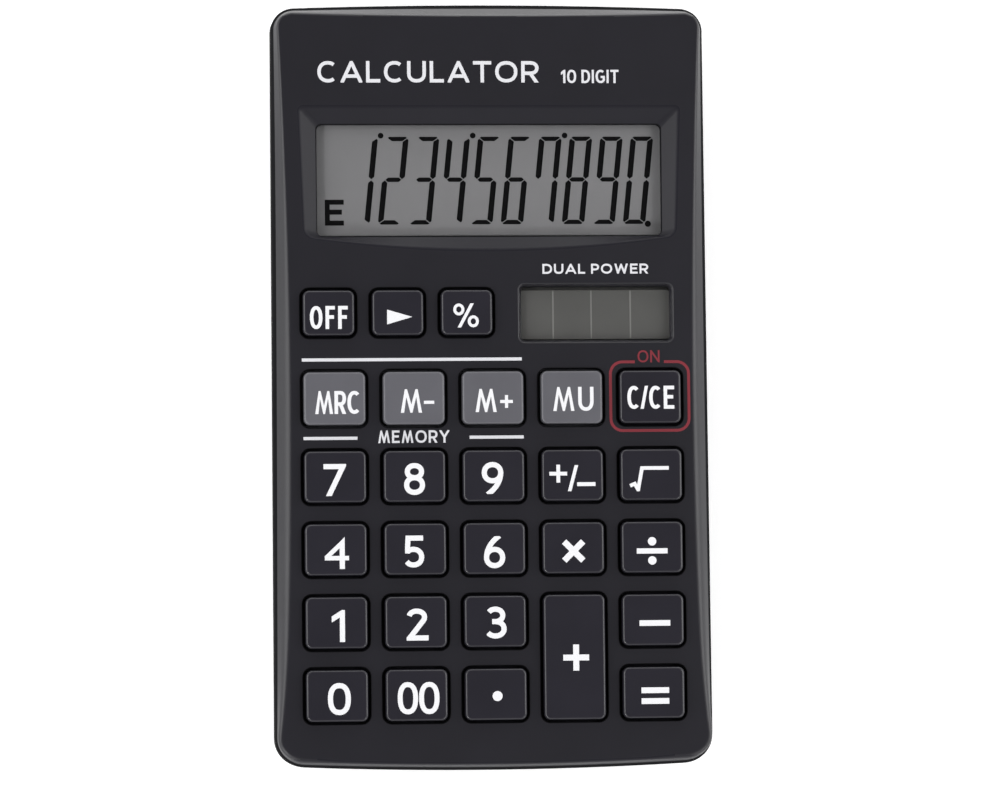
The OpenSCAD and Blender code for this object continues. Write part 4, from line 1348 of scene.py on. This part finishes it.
WHITE_PLASTIC = plastic("white plastic", (0.55, 0.55, 0.5), 0.45, 0.4, 0.006, 0.05)
GLASS = clear("thin glass", (0.88, 0.93, 0.9), 0.04, 0.01)
FINISHES = {
    "back_cover": BACK_BLACK,
    "battery_cover": BACK_BLACK,
    "display_frame": WHITE_PLASTIC,
    "display_glass_front": GLASS,
    "display_glass_rear": GLASS,
    "display_reflector": metal("frosted reflector", (0.5, 0.5, 0.46), 0.5, (1, 8, 1)),
    "display_ribbon": plastic("amber film", (0.4, 0.2, 0.04), 0.3, 0.8, 0.002, 0.15),
    "solar_cell": SOLAR_FILM,
    "solar_pad": rubber("foam", (0.03, 0.03, 0.03), 0.95),
    "solar_lead_red": plastic("red wire", (0.4, 0.02, 0.02), 0.4, 0.5, 0.002),
    "solar_lead_black": plastic("black wire", (0.015, 0.015, 0.015), 0.4, 0.5, 0.002),
    "circuit_board": plastic("board laminate", (0.25, 0.14, 0.04), 0.45, 1.2, 0.006, 0.2),
    "chip_blob": plastic("epoxy", (0.01, 0.01, 0.01), 0.22, 1.5, 0.01, 0.1),
    "resistors": plastic("chip ceramic", (0.02, 0.02, 0.022), 0.5, 0.3, 0.004),
    "diodes": plastic("diode glass", (0.45, 0.12, 0.02), 0.12, 0.6, 0.001),
    "capacitor": plastic("sleeve", (0.012, 0.02, 0.09), 0.3, 0.8, 0.003),
    "keypad_sheet": SILICONE,
    "button_cell": metal("steel can", (0.6, 0.6, 0.59), 0.28, (1, 14, 1)),
    "battery_contact_positive": metal("nickel spring", (0.62, 0.6, 0.55), 0.3, (10, 1, 1)),
    "battery_contact_negative": metal("nickel spring strip", (0.62, 0.6, 0.55), 0.3, (1, 10, 1)),
    "battery_cover_screw": metal("zinc screw", (0.4, 0.4, 0.41), 0.38),
    "case_screws": metal("zinc screws", (0.4, 0.4, 0.41), 0.38),
    "board_screws": metal("board screws", (0.5, 0.5, 0.48), 0.35),
    "rubber_feet": rubber("foot rubber", (0.02, 0.02, 0.021), 0.8),
}
for finish_node, finish in FINISHES.items():
    paint(finish_node, finish)


# ---- floor and studio light

FLOOR_HALF = 3.0
FLOOR_Z = -0.05
FLOOR_COLOR = 0.93
FLOOR_GLOW = 0.34
# Height from -1 to 1 as 0 to 1, and brightness.
STUDIO_LEVELS = [(0.0, 1.45), (0.3, 1.48), (0.62, 0.84), (0.82, 0.16), (1.0, 0.055)]
# Name, azimuth, elevation, distance, width, height and radiance.
SOFTBOXES = [
    ("display end box", 90, 12, 1.2, 1.4, 0.4, 2.2),
    ("left box", 175, 38, 1.3, 0.8, 0.8, 3.3),
    ("right box", 5, 38, 1.3, 0.8, 0.8, 3.5),
    ("left glint", 225, 36, 1.2, 0.09, 0.09, 130),
    ("right glint", 315, 40, 1.2, 0.07, 0.07, 80),
]


def make_floor():
    mesh = bpy.data.meshes.new("floor")
    s = FLOOR_HALF
    z = FLOOR_Z * MM
    mesh.from_pydata([(-s, -s, z), (s, -s, z), (s, s, z), (-s, s, z)], [], [(0, 1, 2, 3)])
    m = Nodes("floor", (FLOOR_COLOR,) * 3, 0.8)
    m.shader.inputs["Specular IOR Level"].default_value = 0.1
    m.shade(m.noise(60, 2), 0.004)
    m.shader.inputs["Emission Color"].default_value = (1, 1, 1, 1)
    m.shader.inputs["Emission Strength"].default_value = FLOOR_GLOW
    mesh.materials.append(m.material)
    floor = bpy.data.objects.new("floor", mesh)
    scene.collection.objects.link(floor)


def make_world(levels):
    """Studio walls: brightness by height, from below the horizon to overhead."""
    world = bpy.data.worlds.new("studio")
    world.use_nodes = True
    tree = world.node_tree
    place = tree.nodes.new("ShaderNodeTexCoord")
    split = tree.nodes.new("ShaderNodeSeparateXYZ")
    ramp = tree.nodes.new("ShaderNodeValToRGB")
    tree.links.new(place.outputs["Generated"], split.inputs["Vector"])
    tree.links.new(split.outputs["Z"], ramp.inputs["Fac"])
    elements = ramp.color_ramp.elements
    while len(elements) < len(levels):
        elements.new(0.5)
    top = max(level for _, level in levels)
    for element, (height, level) in zip(elements, levels):
        element.position = height
        element.color = (level / top,) * 3 + (1,)
    background = tree.nodes["Background"]
    tree.links.new(ramp.outputs["Color"], background.inputs["Color"])
    background.inputs["Strength"].default_value = top
    scene.world = world


def softbox(name, azimuth, elevation, distance, width, height, radiance):
    """Area light aimed at the object. Azimuth 0 is the +X side, 90 the display end."""
    data = bpy.data.lights.new(name, "AREA")
    data.shape = "RECTANGLE"
    data.size, data.size_y = width, height
    data.energy = radiance * math.pi * width * height
    lamp = bpy.data.objects.new(name, data)
    a, e = math.radians(azimuth), math.radians(elevation)
    toward = Vector((math.cos(a) * math.cos(e), math.sin(a) * math.cos(e), math.sin(e)))
    lamp.location = toward * distance
    lamp.rotation_euler = (-lamp.location).to_track_quat("-Z", "Y").to_euler()
    lamp.visible_camera = False
    scene.collection.objects.link(lamp)


make_floor()
make_world(STUDIO_LEVELS)
for lamp_values in SOFTBOXES:
    softbox(*lamp_values)
